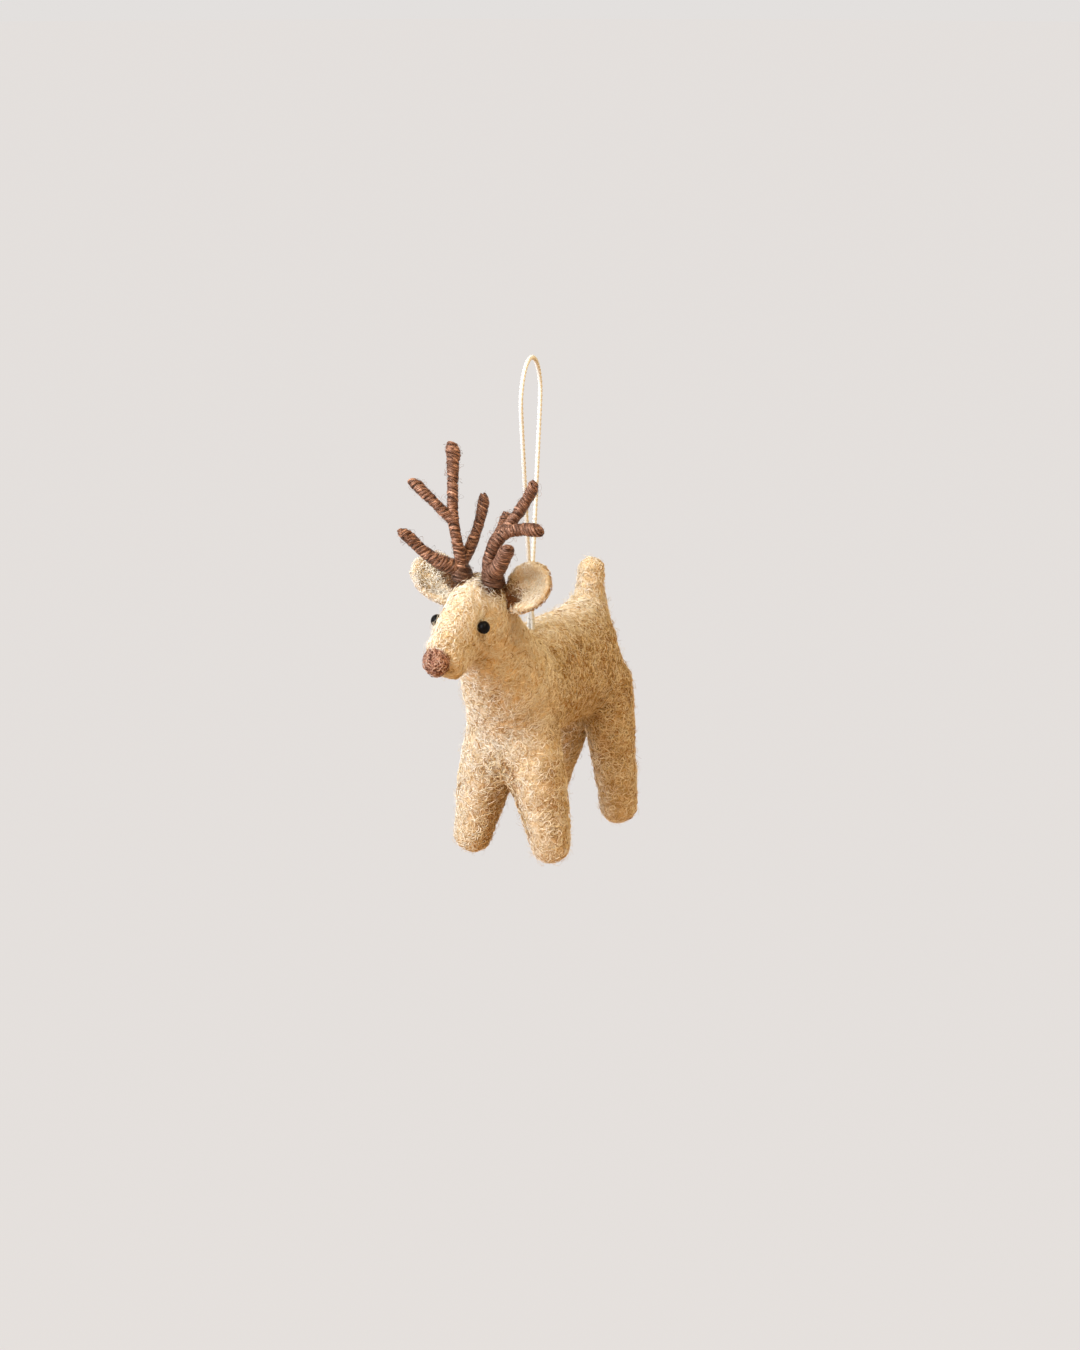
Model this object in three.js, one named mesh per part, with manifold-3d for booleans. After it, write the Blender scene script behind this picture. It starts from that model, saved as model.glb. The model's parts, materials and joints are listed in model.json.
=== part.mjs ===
// Needle-felted deer ornament on a cotton thread loop.
// Millimetres, +Z up. The deer looks along -Y and its left side is +X.
// The origin is the inner top of the loop, the point that a hook carries.
import * as THREE from "three";
import { mergeVertices } from "three/addons/utils/BufferGeometryUtils.js";
import Module from "manifold-3d";

const wasm = await Module();
wasm.setup();

// Clearances
const feltGap = 0.3; // between two felt pieces that are needled together
const wireGap = 0.25; // between an antler wire and the wool wound on it
const threadGap = 0.3; // between two lengths of thread, and round the thread in the felt

// Thread
const threadDiameter = 1.1;
const loopTurn = 14.5; // degrees from the deer's own length to the plane of the loop
const linkLength = 3.6; // a length of laid-together thread that bends as one
const linkDiameter = 1.9; // the two strands laid together
const stemProud = 0.5; // the stem stands this far out of the back
const stemDepth = 13; // from the back down to the middle of the knot
const knotDiameter = 4.4;

// Half of the loop in its own plane, from the lower end of a strand to the top: across, up
const loopHalf = [
  [0.75, -56.6],
  [0.78, -55.5],
  [1.26, -52.8],
  [2.1, -48.5],
  [3.88, -39.5],
  [5.76, -30],
  [7.63, -20.5],
  [8.92, -14],
  [9.5, -10.8],
  [9.66, -8.6],
  [9.4, -6.7],
  [8.4, -4.3],
  [6.86, -2.29],
  [4.85, -0.75],
  [2.5, 0.22],
];
const loopTop = [0, 0.55];

// Torso: a chest dome and a rump dome with a straight back between them
const chestWidth = 24.4;
const chestHeight = 27;
const chestDome = 14.6;
const rumpWidth = 22.4;
const rumpHeight = 27.6;
const rumpDome = 13;
const chestToRump = 28;
const rumpRise = 1; // the back climbs to the rump
const exitBehindChest = 5.6; // the thread leaves the back this far behind the middle of the chest

// Legs: rolls that swell from the foot to a hip sunk in the torso
const footDiameter = 9.6;
const frontShinDiameter = 13.4;
const rearShinDiameter = 12;
const hipDiameter = 14;
const hipRise = -5.6; // middle of the hip from the torso's axis
const hipSpread = 4; // from the midplane
const frontLegDrop = 40.7; // torso axis to the sole
const frontStance = 10.6; // foot from the midplane
const frontHipForward = 3.5; // ahead of the middle of the chest
const frontFootForward = 4.2;
const rearLegDrop = 40.7;
const rearStance = 10.4;
const rearHipBack = 6.4; // behind the middle of the rump
const rearFootBack = 4.5;
const rearPairShift = 1.5; // the rear hips sit this far to the left
const shinHeight = 19; // middle of the shin above the sole

// Tail: an upright stub with a flared root
const tailRootDiameter = 13;
const tailMidDiameter = 8.2;
const tailTipDiameter = 7;
const tailRootBack = 5.4; // behind the middle of the rump
const tailMidBack = 8.3;
const tailTipBack = 9.3;
const tailRise = 24.6; // top of the tail above the torso's axis
const tailRootRise = 7.5;
const tailMidRise = 14.6;
const tailRootDome = 3.2;

// Neck: a roll that leans forward from the chest into the skull
const neckRootWidth = 20.8;
const neckRootDepth = 22.6;
const neckTopWidth = 15;
const neckTopDepth = 17.5;
const neckRootForward = 6.5;
const neckRootRise = 4.5;
const neckTopSink = 3.4; // its top lies under the middle of the skull
const neckTopForward = 1;
const neckRootDome = 6.8;
const neckTopDome = 4.4;

// Head: a skull that tapers to a muzzle
const skullWidth = 16.8;
const skullHeight = 17.4;
const skullDome = 6.5;
const skullForward = 18.1; // ahead of the middle of the chest
const skullRise = 24.3; // above the torso's axis
const browWidth = 10.6;
const browHeight = 16.4;
const browForward = 11; // ahead of the middle of the skull
const browLeft = 0.7; // the head bends a little to its left
const browDrop = 3.1;
const muzzleWidth = 9.2;
const muzzleHeight = 13.2;
const muzzleDome = 3.2;
const muzzleForward = 18.3;
const muzzleLeft = 0.3;
const muzzleDrop = 7.9;

// Nose: a small felted ball
const noseWidth = 6.8;
const noseHeight = 7.4;
const noseLength = 5.8;
const noseProud = 1.3; // middle of the ball beyond the end of the muzzle
const noseRise = 2.4;

// Eye beads
const beadDiameter = 3;
const leftBeadAlongHead = 0.48; // shares of the way from the skull to the muzzle
const rightBeadAlongHead = 0.58;
const leftBeadRise = 10; // degrees above the widest line of the head
const rightBeadRise = 26;

// Ears: cupped leaves
const earLength = 12.2;
const earWidth = 10.6;
const earRootWidth = 5.4;
const earTipWidth = 8.9;
const earThickness = 4;
const earRootThickness = 3.2;
const earTipThickness = 3.4;
const earRootShare = 0.1; // shares of the leaf from its root to its tip
const earWidestShare = 0.55;
const earTipShare = 0.8;
const cupShare = 0.58;
const cupLength = 10.7;
const earHollow = 1.9; // depth of the cup
const earRim = 1.1;
const earSink = 1.6; // root below the felt
const earRise = 16; // degrees above the widest line of the head
const earUp = 44; // degrees of the leaf above level
const earSweep = 8; // degrees that the leaf leans back
const leftEarTurn = 15; // degrees that the cup turns towards the other ear
const rightEarTurn = 50;

// Antlers: wool wound on bent wire
const wireDiameter = 1;
const wireSink = 9; // wire pushed into the skull
const wireShort = 1.1; // wire ends this far before the wool's tip
const baseDiameter = 5.6;
const baseTopDiameter = 3.6;
const baseHeight = 5.2;
const baseSink = 1.2;
const baseFootDome = 1.4;
const baseTopDome = 1.2;
const beamDiameter = 2.3;
const tineDiameter = 2.4;
const tipDiameter = 2.6;
const antlerRise = 61; // degrees above the widest line of the head
const antlerAlongHead = 0.03;

// Antler routes from the seat on the skull: outward, backward, up
const rightAntler = {
  side: -1,
  beam: [
    [0.2, -0.1, 3.8],
    [1, -0.4, 8.3],
    [2.1, -0.3, 13.6],
    [3.1, 1.1, 18.4],
    [4, 2.9, 24],
    [4.8, 4.5, 29.6],
  ],
  tines: {
    brow_tine: [[0.15, -0.1, 2.2], [3.8, -3.3, 4.1], [7.3, -4.6, 6.4], [11.6, -6.8, 11]],
    rear_tine: [[0.15, -0.1, 3.2], [-0.5, 3.6, 7.5], [-0.8, 6.1, 11.1], [-1.2, 8.6, 17.4]],
    fork_tine: [[2.1, -0.3, 13.6], [6.8, -1.6, 17.9], [11.6, -1.6, 21.7]],
  },
};
const leftAntler = {
  side: 1,
  beam: [
    [0.2, -1.5, 4.9],
    [1.6, -2.1, 9.7],
    [3.8, -0.6, 13],
    [7.3, 0.7, 18.3],
    [10.4, 0.5, 23.4],
  ],
  tines: {
    brow_tine: [[0.1, -0.6, 2.2], [3.8, -4.7, 4.5], [8.4, -8.7, 10.2]],
    rear_tine: [[1.6, -2.1, 9.7], [1.9, 0.8, 12.6], [1.4, 3.9, 14.9]],
    fork_tine: [[1.6, -2.1, 9.7], [5, -2.4, 12.6], [8.3, -2.8, 13.6], [13.6, -3.4, 14.2]],
  },
};

// Facets
const bodySides = 20;
const limbSides = 14;
const ballSides = 12;
const ballRows = 8;
const wrapSides = 9;
const antlerSides = 8;
const threadSides = 8;
const wireSides = 5;
const rollSteps = 8;
const shortSteps = 5;
const beamSteps = 10;
const tineSteps = 5;
const beamWireSteps = 10;
const tineWireSteps = 5;
const baseSteps = 4;
const loopSteps = 46;
const domeRows = 4;
const smallDomeRows = 3;

// Making
const trimBlock = 200; // a block larger than the deer, that halves a pair of hips
const weldWithin = 1e-4;

const felt = new THREE.MeshStandardMaterial({ color: "#d8be90", roughness: 1, metalness: 0 });
const brownWool = new THREE.MeshStandardMaterial({ color: "#8a5f49", roughness: 0.95, metalness: 0 });
const roseWool = new THREE.MeshStandardMaterial({ color: "#a8725c", roughness: 1, metalness: 0 });
const blackBead = new THREE.MeshStandardMaterial({ color: "#0c0b0b", roughness: 0.12, metalness: 0 });
const cotton = new THREE.MeshStandardMaterial({ color: "#ece6d9", roughness: 0.9, metalness: 0 });
const steel = new THREE.MeshStandardMaterial({ color: "#8c8d90", roughness: 0.4, metalness: 1 });

const acrossAxis = new THREE.Vector3(1, 0, 0);
const lengthAxis = new THREE.Vector3(0, 1, 0);
const upAxis = new THREE.Vector3(0, 0, 1);
const spot = (x, y, z) => new THREE.Vector3(x, y, z);

// A smooth route through points; two points give a straight one
function routeThrough(points) {
  if (points.length > 2) return new THREE.CatmullRomCurve3(points);
  return new THREE.LineCurve3(points[0], points[1]);
}

// A roll of felt: oval sections carried along a route, each end shut by a dome.
// A section is its middle, half its width and half its height; tallWay is where its height points.
function feltRoll({ sections, startDome, endDome, tallWay, sides, steps, domeRings = domeRows }) {
  const route = routeThrough(sections.map((section) => section.at));
  const sizes = routeThrough(sections.map((section) => spot(section.wide, section.tall, 0)));

  function ring(share) {
    const along = route.getTangent(share);
    const tall = tallWay.clone().addScaledVector(along, -tallWay.dot(along)).normalize();
    const wide = new THREE.Vector3().crossVectors(tall, along);
    const size = sizes.getPoint(share);
    return { middle: route.getPoint(share), along, wide, tall, size };
  }

  // Point of the skin at a share of the route and an angle from the width towards the height
  function surface(share, degrees) {
    const { middle, wide, tall, size } = ring(share);
    const angle = THREE.MathUtils.degToRad(degrees);
    const at = middle.clone();
    at.addScaledVector(wide, size.x * Math.cos(angle)).addScaledVector(tall, size.y * Math.sin(angle));
    const out = wide.clone().multiplyScalar(Math.cos(angle) / size.x);
    out.addScaledVector(tall, Math.sin(angle) / size.y).normalize();
    return { at, out };
  }

  const rings = [];
  for (let i = 1; i < domeRings; i += 1) {
    const lean = (i / domeRings) * (Math.PI / 2);
    rings.push({ ...ring(0), shift: -startDome * Math.cos(lean), scale: Math.sin(lean) });
  }
  for (let i = 0; i <= steps; i += 1) {
    rings.push({ ...ring(i / steps), shift: 0, scale: 1 });
  }
  for (let i = domeRings - 1; i > 0; i -= 1) {
    const lean = (i / domeRings) * (Math.PI / 2);
    rings.push({ ...ring(1), shift: endDome * Math.cos(lean), scale: Math.sin(lean) });
  }

  const points = [];
  for (const { middle, along, wide, tall, size, shift, scale } of rings) {
    for (let j = 0; j < sides; j += 1) {
      const angle = (j / sides) * Math.PI * 2;
      const point = middle.clone().addScaledVector(along, shift);
      point.addScaledVector(wide, size.x * scale * Math.cos(angle));
      point.addScaledVector(tall, size.y * scale * Math.sin(angle));
      points.push(point);
    }
  }
  const first = ring(0);
  const last = ring(1);
  const startPole = points.push(first.middle.addScaledVector(first.along, -startDome)) - 1;
  const endPole = points.push(last.middle.addScaledVector(last.along, endDome)) - 1;

  const triangles = [];
  const lastRing = (rings.length - 1) * sides;
  for (let j = 0; j < sides; j += 1) {
    const next = (j + 1) % sides;
    triangles.push(startPole, next, j, endPole, lastRing + j, lastRing + next);
    for (let row = 0; row < lastRing; row += sides) {
      triangles.push(row + j, row + next, row + sides + next, row + j, row + sides + next, row + sides + j);
    }
  }
  const geometry = new THREE.BufferGeometry().setFromPoints(points);
  geometry.setIndex(triangles);
  return { geometry, surface, endPole: points[endPole], endWay: last.along };
}

// A tube along a route, with a round section of a few sides
function tube(points, diameter, sides, steps) {
  const section = new THREE.Shape();
  for (let j = 0; j < sides; j += 1) {
    const angle = (j / sides) * Math.PI * 2;
    const across = [Math.cos(angle) * diameter / 2, Math.sin(angle) * diameter / 2];
    if (j === 0) section.moveTo(...across);
    else section.lineTo(...across);
  }
  section.closePath();
  return new THREE.ExtrudeGeometry(section, { steps, extrudePath: routeThrough(points) });
}

// Shared corners only, without the triangles that close to nothing at a pole
function welded(geometry) {
  const bare = geometry.clone();
  bare.deleteAttribute("normal");
  bare.deleteAttribute("uv");
  const merged = mergeVertices(bare, weldWithin);
  const old = merged.index.array;
  const kept = [];
  for (let i = 0; i < old.length; i += 3) {
    const [a, b, c] = [old[i], old[i + 1], old[i + 2]];
    if (a !== b && b !== c && c !== a) kept.push(a, b, c);
  }
  merged.setIndex(kept);
  return merged;
}

// Closed geometry as a solid, its skin moved out by grow
function solid(geometry, grow = 0) {
  const mesh = welded(geometry);
  mesh.computeVertexNormals();
  const { position, normal } = mesh.attributes;
  const vertProperties = new Float32Array(position.array);
  for (let i = 0; i < vertProperties.length; i += 1) {
    vertProperties[i] += normal.array[i] * grow;
  }
  const triVerts = new Uint32Array(mesh.index.array);
  return new wasm.Manifold(new wasm.Mesh({ numProp: 3, vertProperties, triVerts }));
}

function cutBy(piece, ...cutters) {
  return cutters.reduce((left, cutter) => left.subtract(cutter), piece);
}

function node(name, piece, material) {
  const { numProp, vertProperties, triVerts } = piece.getMesh();
  const corners = [];
  for (let i = 0; i < vertProperties.length; i += numProp) {
    corners.push(vertProperties[i], vertProperties[i + 1], vertProperties[i + 2]);
  }
  const geometry = new THREE.BufferGeometry();
  geometry.setAttribute("position", new THREE.Float32BufferAttribute(corners, 3));
  geometry.setIndex(Array.from(triVerts));
  geometry.computeVertexNormals();
  const mesh = new THREE.Mesh(geometry, material);
  mesh.name = name;
  return mesh;
}

const oval = (at, width, height) => ({ at, wide: width / 2, tall: height / 2 });
const round = (at, diameter) => oval(at, diameter, diameter);

// The deer's own origin is the point of the back where the thread comes out
const deer = new THREE.Group();
const exitShare = exitBehindChest / chestToRump;
const backRise = THREE.MathUtils.lerp(chestHeight / 2, rumpRise + rumpHeight / 2, exitShare);
const chest = spot(0, -exitBehindChest, -backRise);
const rump = chest.clone().add(spot(0, chestToRump, rumpRise));

const torso = feltRoll({
  sections: [oval(chest, chestWidth, chestHeight), oval(rump, rumpWidth, rumpHeight)],
  startDome: chestDome,
  endDome: rumpDome,
  tallWay: upAxis,
  sides: bodySides,
  steps: shortSteps,
  domeRings: shortSteps,
});
const torsoGrown = solid(torso.geometry, feltGap);

const skull = chest.clone().add(spot(0, -skullForward, skullRise));
const head = feltRoll({
  sections: [
    oval(skull, skullWidth, skullHeight),
    oval(skull.clone().add(spot(browLeft, -browForward, -browDrop)), browWidth, browHeight),
    oval(skull.clone().add(spot(muzzleLeft, -muzzleForward, -muzzleDrop)), muzzleWidth, muzzleHeight),
  ],
  startDome: skullDome,
  endDome: muzzleDome,
  tallWay: upAxis,
  sides: bodySides,
  steps: rollSteps,
});
const headGrown = solid(head.geometry, feltGap);

const neckRoot = chest.clone().add(spot(0, -neckRootForward, neckRootRise));
const neckTop = skull.clone().add(spot(0, -neckTopForward, -neckTopSink));
const neck = feltRoll({
  sections: [oval(neckRoot, neckRootWidth, neckRootDepth), oval(neckTop, neckTopWidth, neckTopDepth)],
  startDome: neckRootDome,
  endDome: neckTopDome,
  tallWay: lengthAxis,
  sides: bodySides,
  steps: rollSteps,
});
deer.add(node("neck", cutBy(solid(neck.geometry), torsoGrown, headGrown), felt));

// Legs: the two of a pair meet at the middle of their hips
function leg(name, side, { middle, hipY, footY, stance, shinDiameter, drop }) {
  const sole = chest.z - drop;
  const foot = spot(side * stance, footY, sole + footDiameter / 2);
  const hip = spot(middle + side * hipSpread, hipY, chest.z + hipRise);
  const shinShare = (shinHeight - footDiameter / 2) / (hip.z - foot.z);
  const shin = foot.clone().lerp(hip, shinShare);
  const roll = feltRoll({
    sections: [round(foot, footDiameter), round(shin, shinDiameter), round(hip, hipDiameter)],
    startDome: footDiameter / 2,
    endDome: hipDiameter / 2,
    tallWay: lengthAxis,
    sides: limbSides,
    steps: rollSteps,
  });
  const block = new THREE.BoxGeometry(trimBlock, trimBlock, trimBlock);
  block.translate(middle - side * (trimBlock / 2 - feltGap / 2), 0, chest.z);
  deer.add(node(name, cutBy(solid(roll.geometry), torsoGrown, solid(block)), felt));
}
const frontPair = {
  middle: 0,
  hipY: chest.y - frontHipForward,
  footY: chest.y - frontFootForward,
  stance: frontStance,
  shinDiameter: frontShinDiameter,
  drop: frontLegDrop,
};
const rearPair = {
  middle: rearPairShift,
  hipY: rump.y + rearHipBack,
  footY: rump.y + rearFootBack,
  stance: rearStance,
  shinDiameter: rearShinDiameter,
  drop: rearLegDrop,
};
for (const [hand, side] of [["left", 1], ["right", -1]]) {
  leg(`front_${hand}_leg`, side, frontPair);
  leg(`rear_${hand}_leg`, side, rearPair);
}

const tailAt = (back, rise) => rump.clone().add(spot(0, back, rise));
const tail = feltRoll({
  sections: [
    round(tailAt(tailRootBack, tailRootRise), tailRootDiameter),
    round(tailAt(tailMidBack, tailMidRise), tailMidDiameter),
    round(tailAt(tailTipBack, tailRise - tailTipDiameter / 2), tailTipDiameter),
  ],
  startDome: tailRootDome,
  endDome: tailTipDiameter / 2,
  tallWay: lengthAxis,
  sides: limbSides,
  steps: rollSteps,
});
deer.add(node("tail", cutBy(solid(tail.geometry), torsoGrown), felt));

const noseBall = new THREE.SphereGeometry(0.5, limbSides, ballRows);
noseBall.scale(noseWidth, noseLength, noseHeight);
const noseAt = head.endPole.clone().addScaledVector(head.endWay, noseProud);
noseAt.z += noseRise;
noseBall.translate(...noseAt.toArray());
deer.add(node("nose", cutBy(solid(noseBall), headGrown), roseWool));

// Antlers: one twisted wire frame each, with wool wound on the foot, the beam and every tine
const headHoles = [];
const antlerFeet = [];
function antler(hand, { side, beam, tines }) {
  const seat = head.surface(antlerAlongHead, side > 0 ? antlerRise : 180 - antlerRise);
  const place = ([out, back, up]) => seat.at.clone().add(spot(side * out, back, up));
  const shortened = (points) => {
    const end = points.at(-1);
    const way = end.clone().sub(points.at(-2)).normalize();
    return [...points.slice(0, -1), end.clone().addScaledVector(way, -wireShort)];
  };

  const beamPoints = [seat.at.clone(), ...beam.map(place)];
  const stem = seat.at.clone().addScaledVector(upAxis, -wireSink);
  const wires = [tube(shortened([stem, ...beamPoints]), wireDiameter, wireSides, beamWireSteps)];
  const tinePoints = Object.entries(tines).map(([name, route]) => [name, route.map(place)]);
  for (const [, points] of tinePoints) {
    wires.push(tube(shortened(points), wireDiameter, wireSides, tineWireSteps));
  }
  const frame = wires.map((wire) => solid(wire)).reduce((whole, wire) => whole.add(wire));
  const bore = wires.map((wire) => solid(wire, wireGap)).reduce((whole, wire) => whole.add(wire));
  deer.add(node(`${hand}_antler_wire`, frame, steel));
  headHoles.push(solid(wires[0], feltGap));

  const foot = feltRoll({
    sections: [
      round(seat.at.clone().addScaledVector(upAxis, -baseSink), baseDiameter),
      round(seat.at.clone().lerp(beamPoints[1], baseHeight / 2 / beam[0][2]), baseDiameter),
      round(seat.at.clone().lerp(beamPoints[1], baseHeight / beam[0][2]), baseTopDiameter),
    ],
    startDome: baseFootDome,
    endDome: baseTopDome,
    tallWay: lengthAxis,
    sides: wrapSides,
    steps: baseSteps,
    domeRings: smallDomeRows,
  });
  deer.add(node(`${hand}_antler_base_wrap`, cutBy(solid(foot.geometry), headGrown, bore), brownWool));
  const footGrown = solid(foot.geometry, feltGap);
  antlerFeet.push(footGrown);

  const woundOn = (points, diameter, steps) => feltRoll({
    sections: points.map((at, i) => round(at, i === points.length - 1 ? tipDiameter : diameter)),
    startDome: diameter / 2,
    endDome: tipDiameter / 2,
    tallWay: lengthAxis.clone().add(acrossAxis),
    sides: antlerSides,
    steps,
    domeRings: smallDomeRows,
  });
  const beamWrap = woundOn(beamPoints, beamDiameter, beamSteps);
  deer.add(node(`${hand}_antler_beam`, cutBy(solid(beamWrap.geometry), footGrown, bore), brownWool));
  const beamGrown = solid(beamWrap.geometry, feltGap);
  for (const [name, points] of tinePoints) {
    const wrap = woundOn(points, tineDiameter, tineSteps);
    const piece = cutBy(solid(wrap.geometry), footGrown, beamGrown, bore);
    deer.add(node(`${hand}_antler_${name}`, piece, brownWool));
  }
}
antler("left", leftAntler);
antler("right", rightAntler);

// Ears: a leaf hollowed on its front, cut to the skull and to the antler's foot
function ear(name, side, degrees, antlerFoot) {
  const root = head.surface(antlerAlongHead, side > 0 ? earRise : 180 - earRise);
  const rise = THREE.MathUtils.degToRad(earUp);
  const sweep = THREE.MathUtils.degToRad(earSweep);
  const turn = THREE.MathUtils.degToRad(degrees);
  const along = spot(side * Math.cos(rise), Math.sin(sweep), Math.sin(rise)).normalize();
  const front = spot(-side * Math.sin(turn), -Math.cos(turn), 0);
  front.addScaledVector(along, -front.dot(along)).normalize();
  const across = new THREE.Vector3().crossVectors(along, front);
  const start = root.at.clone().addScaledVector(along, -earSink);
  const wholeLength = earLength + earSink;
  const at = (share) => start.clone().addScaledVector(along, wholeLength * share);
  const leaf = feltRoll({
    sections: [
      oval(at(earRootShare), earRootWidth, earRootThickness),
      oval(at(earWidestShare), earWidth, earThickness),
      oval(at(earTipShare), earTipWidth, earTipThickness),
    ],
    startDome: wholeLength * earRootShare,
    endDome: wholeLength * (1 - earTipShare),
    tallWay: front,
    sides: limbSides,
    steps: shortSteps,
  });
  const scoop = new THREE.SphereGeometry(1, ballSides, ballRows);
  scoop.scale(earWidth / 2 - earRim, cupLength / 2 - earRim, earHollow);
  scoop.applyMatrix4(new THREE.Matrix4().makeBasis(across, along, front));
  scoop.translate(...at(cupShare).addScaledVector(front, earThickness / 2).toArray());
  deer.add(node(name, cutBy(solid(leaf.geometry), solid(scoop), headGrown, antlerFoot), felt));
}
ear("left_ear", 1, leftEarTurn, antlerFeet[0]);
ear("right_ear", -1, rightEarTurn, antlerFeet[1]);

// Eyes: glass beads half sunk in sockets
const sockets = [];
function eye(name, along, degrees) {
  const ball = new THREE.SphereGeometry(beadDiameter / 2, wrapSides, ballRows);
  ball.translate(...head.surface(along, degrees).at.toArray());
  deer.add(node(name, solid(ball), blackBead));
  sockets.push(solid(ball, feltGap));
}
eye("left_eye_bead", leftBeadAlongHead, leftBeadRise);
eye("right_eye_bead", rightBeadAlongHead, 180 - rightBeadRise);
deer.add(node("head", cutBy(solid(head.geometry), ...headHoles, ...sockets), felt));

// Two strands laid together, from a low end to a high end
function laidThread(low, high) {
  return feltRoll({
    sections: [
      round(spot(0, 0, low + linkDiameter / 2), linkDiameter),
      round(spot(0, 0, high - linkDiameter / 2), linkDiameter),
    ],
    startDome: linkDiameter / 2,
    endDome: linkDiameter / 2,
    tallWay: lengthAxis,
    sides: wrapSides,
    steps: 1,
    domeRings: smallDomeRows,
  }).geometry;
}

// The knotted end of the thread, sunk in the back
const stem = laidThread(-stemDepth, stemProud);
const knot = new THREE.SphereGeometry(knotDiameter / 2, ballSides, ballRows);
knot.translate(0, 0, -stemDepth);
deer.add(node("anchor_knot", solid(stem).add(solid(knot)), cotton));
const threadWay = solid(stem, threadGap).add(solid(knot, threadGap));
deer.add(node("torso", cutBy(solid(torso.geometry), threadWay), felt));

// Two short lengths of laid-together thread between the loop and the back
const strandEnd = loopHalf[0][1];
const link = (name, top) => node(name, solid(laidThread(top - linkLength, top)), cotton);
const upperTop = strandEnd - threadGap;
const lowerTop = upperTop - linkLength - threadGap;
deer.position.z = lowerTop - linkLength - threadGap - stemProud;

// The loop: one thread up a strand, over the top and down the other
const risingSide = loopHalf.map(([across, up]) => spot(0, -across, up));
const fallingSide = loopHalf.map(([across, up]) => spot(0, across, up)).reverse();
const loopPoints = [...risingSide, spot(0, ...loopTop), ...fallingSide];
const loop = node("hanging_loop", solid(tube(loopPoints, threadDiameter, threadSides, loopSteps)), cotton);
loop.rotation.z = THREE.MathUtils.degToRad(loopTurn);

const ornament = new THREE.Group();
ornament.add(loop, link("upper_thread_link", upperTop), link("lower_thread_link", lowerTop), deer);

export default ornament;
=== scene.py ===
import json
import math

import bpy
import numpy as np
from mathutils import Matrix, Vector

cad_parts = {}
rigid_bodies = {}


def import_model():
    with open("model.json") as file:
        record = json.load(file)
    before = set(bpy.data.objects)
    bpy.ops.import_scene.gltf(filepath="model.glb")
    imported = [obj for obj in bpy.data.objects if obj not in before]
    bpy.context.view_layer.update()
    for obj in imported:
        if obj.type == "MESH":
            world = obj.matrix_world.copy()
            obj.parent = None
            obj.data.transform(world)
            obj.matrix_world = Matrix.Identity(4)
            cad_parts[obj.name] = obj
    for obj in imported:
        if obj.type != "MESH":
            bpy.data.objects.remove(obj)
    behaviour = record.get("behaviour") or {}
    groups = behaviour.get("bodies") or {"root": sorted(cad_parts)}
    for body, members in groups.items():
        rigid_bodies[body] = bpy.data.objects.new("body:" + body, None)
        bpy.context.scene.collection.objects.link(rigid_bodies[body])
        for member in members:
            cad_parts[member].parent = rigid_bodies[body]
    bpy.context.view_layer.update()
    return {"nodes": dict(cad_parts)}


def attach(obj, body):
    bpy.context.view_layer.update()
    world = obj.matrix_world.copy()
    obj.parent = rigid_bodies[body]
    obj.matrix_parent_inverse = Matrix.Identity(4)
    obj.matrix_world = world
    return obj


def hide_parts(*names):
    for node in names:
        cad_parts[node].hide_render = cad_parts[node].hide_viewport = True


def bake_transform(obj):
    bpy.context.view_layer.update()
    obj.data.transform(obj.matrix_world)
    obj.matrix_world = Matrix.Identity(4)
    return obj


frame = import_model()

mm = 0.001
rng = np.random.default_rng(1225)
fibreShare = 1.0
print("frame loaded:", len(frame["nodes"]), "nodes")


# Nodes and materials

# sRGB hex to linear light
def linear(hexCode):
    raw = np.array([int(hexCode[i:i + 2], 16) / 255 for i in (1, 3, 5)])
    low = raw <= 0.04045
    return tuple(np.where(low, raw / 12.92, ((raw + 0.055) / 1.055) ** 2.4)) + (1.0,)


# adds a node: values and links go to its sockets, settings to the node itself
def addNode(tree, kind, sockets=None, **settings):
    node = tree.nodes.new("ShaderNode" + kind)
    for name, value in settings.items():
        setattr(node, name, value)
    for key, value in (sockets or {}).items():
        if isinstance(value, bpy.types.NodeSocket):
            tree.links.new(value, node.inputs[key])
        else:
            node.inputs[key].default_value = value
    return node


def newMaterial(name):
    material = bpy.data.materials.new(name)
    material.use_nodes = True
    material.node_tree.nodes.clear()
    return material, material.node_tree


def objectPlace(tree):
    return addNode(tree, "TexCoord").outputs["Object"]


def mapPlace(tree, name):
    return addNode(tree, "UVMap", uv_map=name).outputs[0]


def addScale(tree, place, scale):
    return addNode(tree, "Mapping", {"Vector": place, "Scale": scale}).outputs[0]


def addNoise(tree, place, scale, detail, distortion=0.0):
    sockets = {"Vector": place, "Scale": scale, "Detail": detail, "Distortion": distortion}
    return addNode(tree, "TexNoise", sockets).outputs[0]


# a colour ramp: (place, hex colour) for each stop
def addRamp(tree, factor, stops):
    ramp = addNode(tree, "ValToRGB", {"Fac": factor})
    elements = ramp.color_ramp.elements
    while len(elements) < len(stops):
        elements.new(0.5)
    for element, (place, hexCode) in zip(elements, stops):
        element.position = place
        element.color = linear(hexCode)
    return ramp.outputs[0]


def addMath(tree, operation, a, b=0.0, clamp=False):
    return addNode(tree, "Math", {0: a, 1: b}, operation=operation, use_clamp=clamp).outputs[0]


def addMix(tree, factor, a, b, blend="MIX"):
    sockets = {"Factor": factor, 6: a, 7: b}
    return addNode(tree, "Mix", sockets, data_type="RGBA", blend_type=blend).outputs[2]


def addRange(tree, value, start, end, kind="LINEAR"):
    sockets = {"Value": value, "From Min": start[0], "From Max": start[1], "To Min": end[0], "To Max": end[1]}
    return addNode(tree, "MapRange", sockets, interpolation_type=kind).outputs[0]


def addBump(tree, height, strength, distance):
    return addNode(tree, "Bump", {"Height": height, "Strength": strength, "Distance": distance}).outputs[0]


def addAttribute(tree, name):
    return addNode(tree, "Attribute", attribute_name=name).outputs["Fac"]


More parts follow.
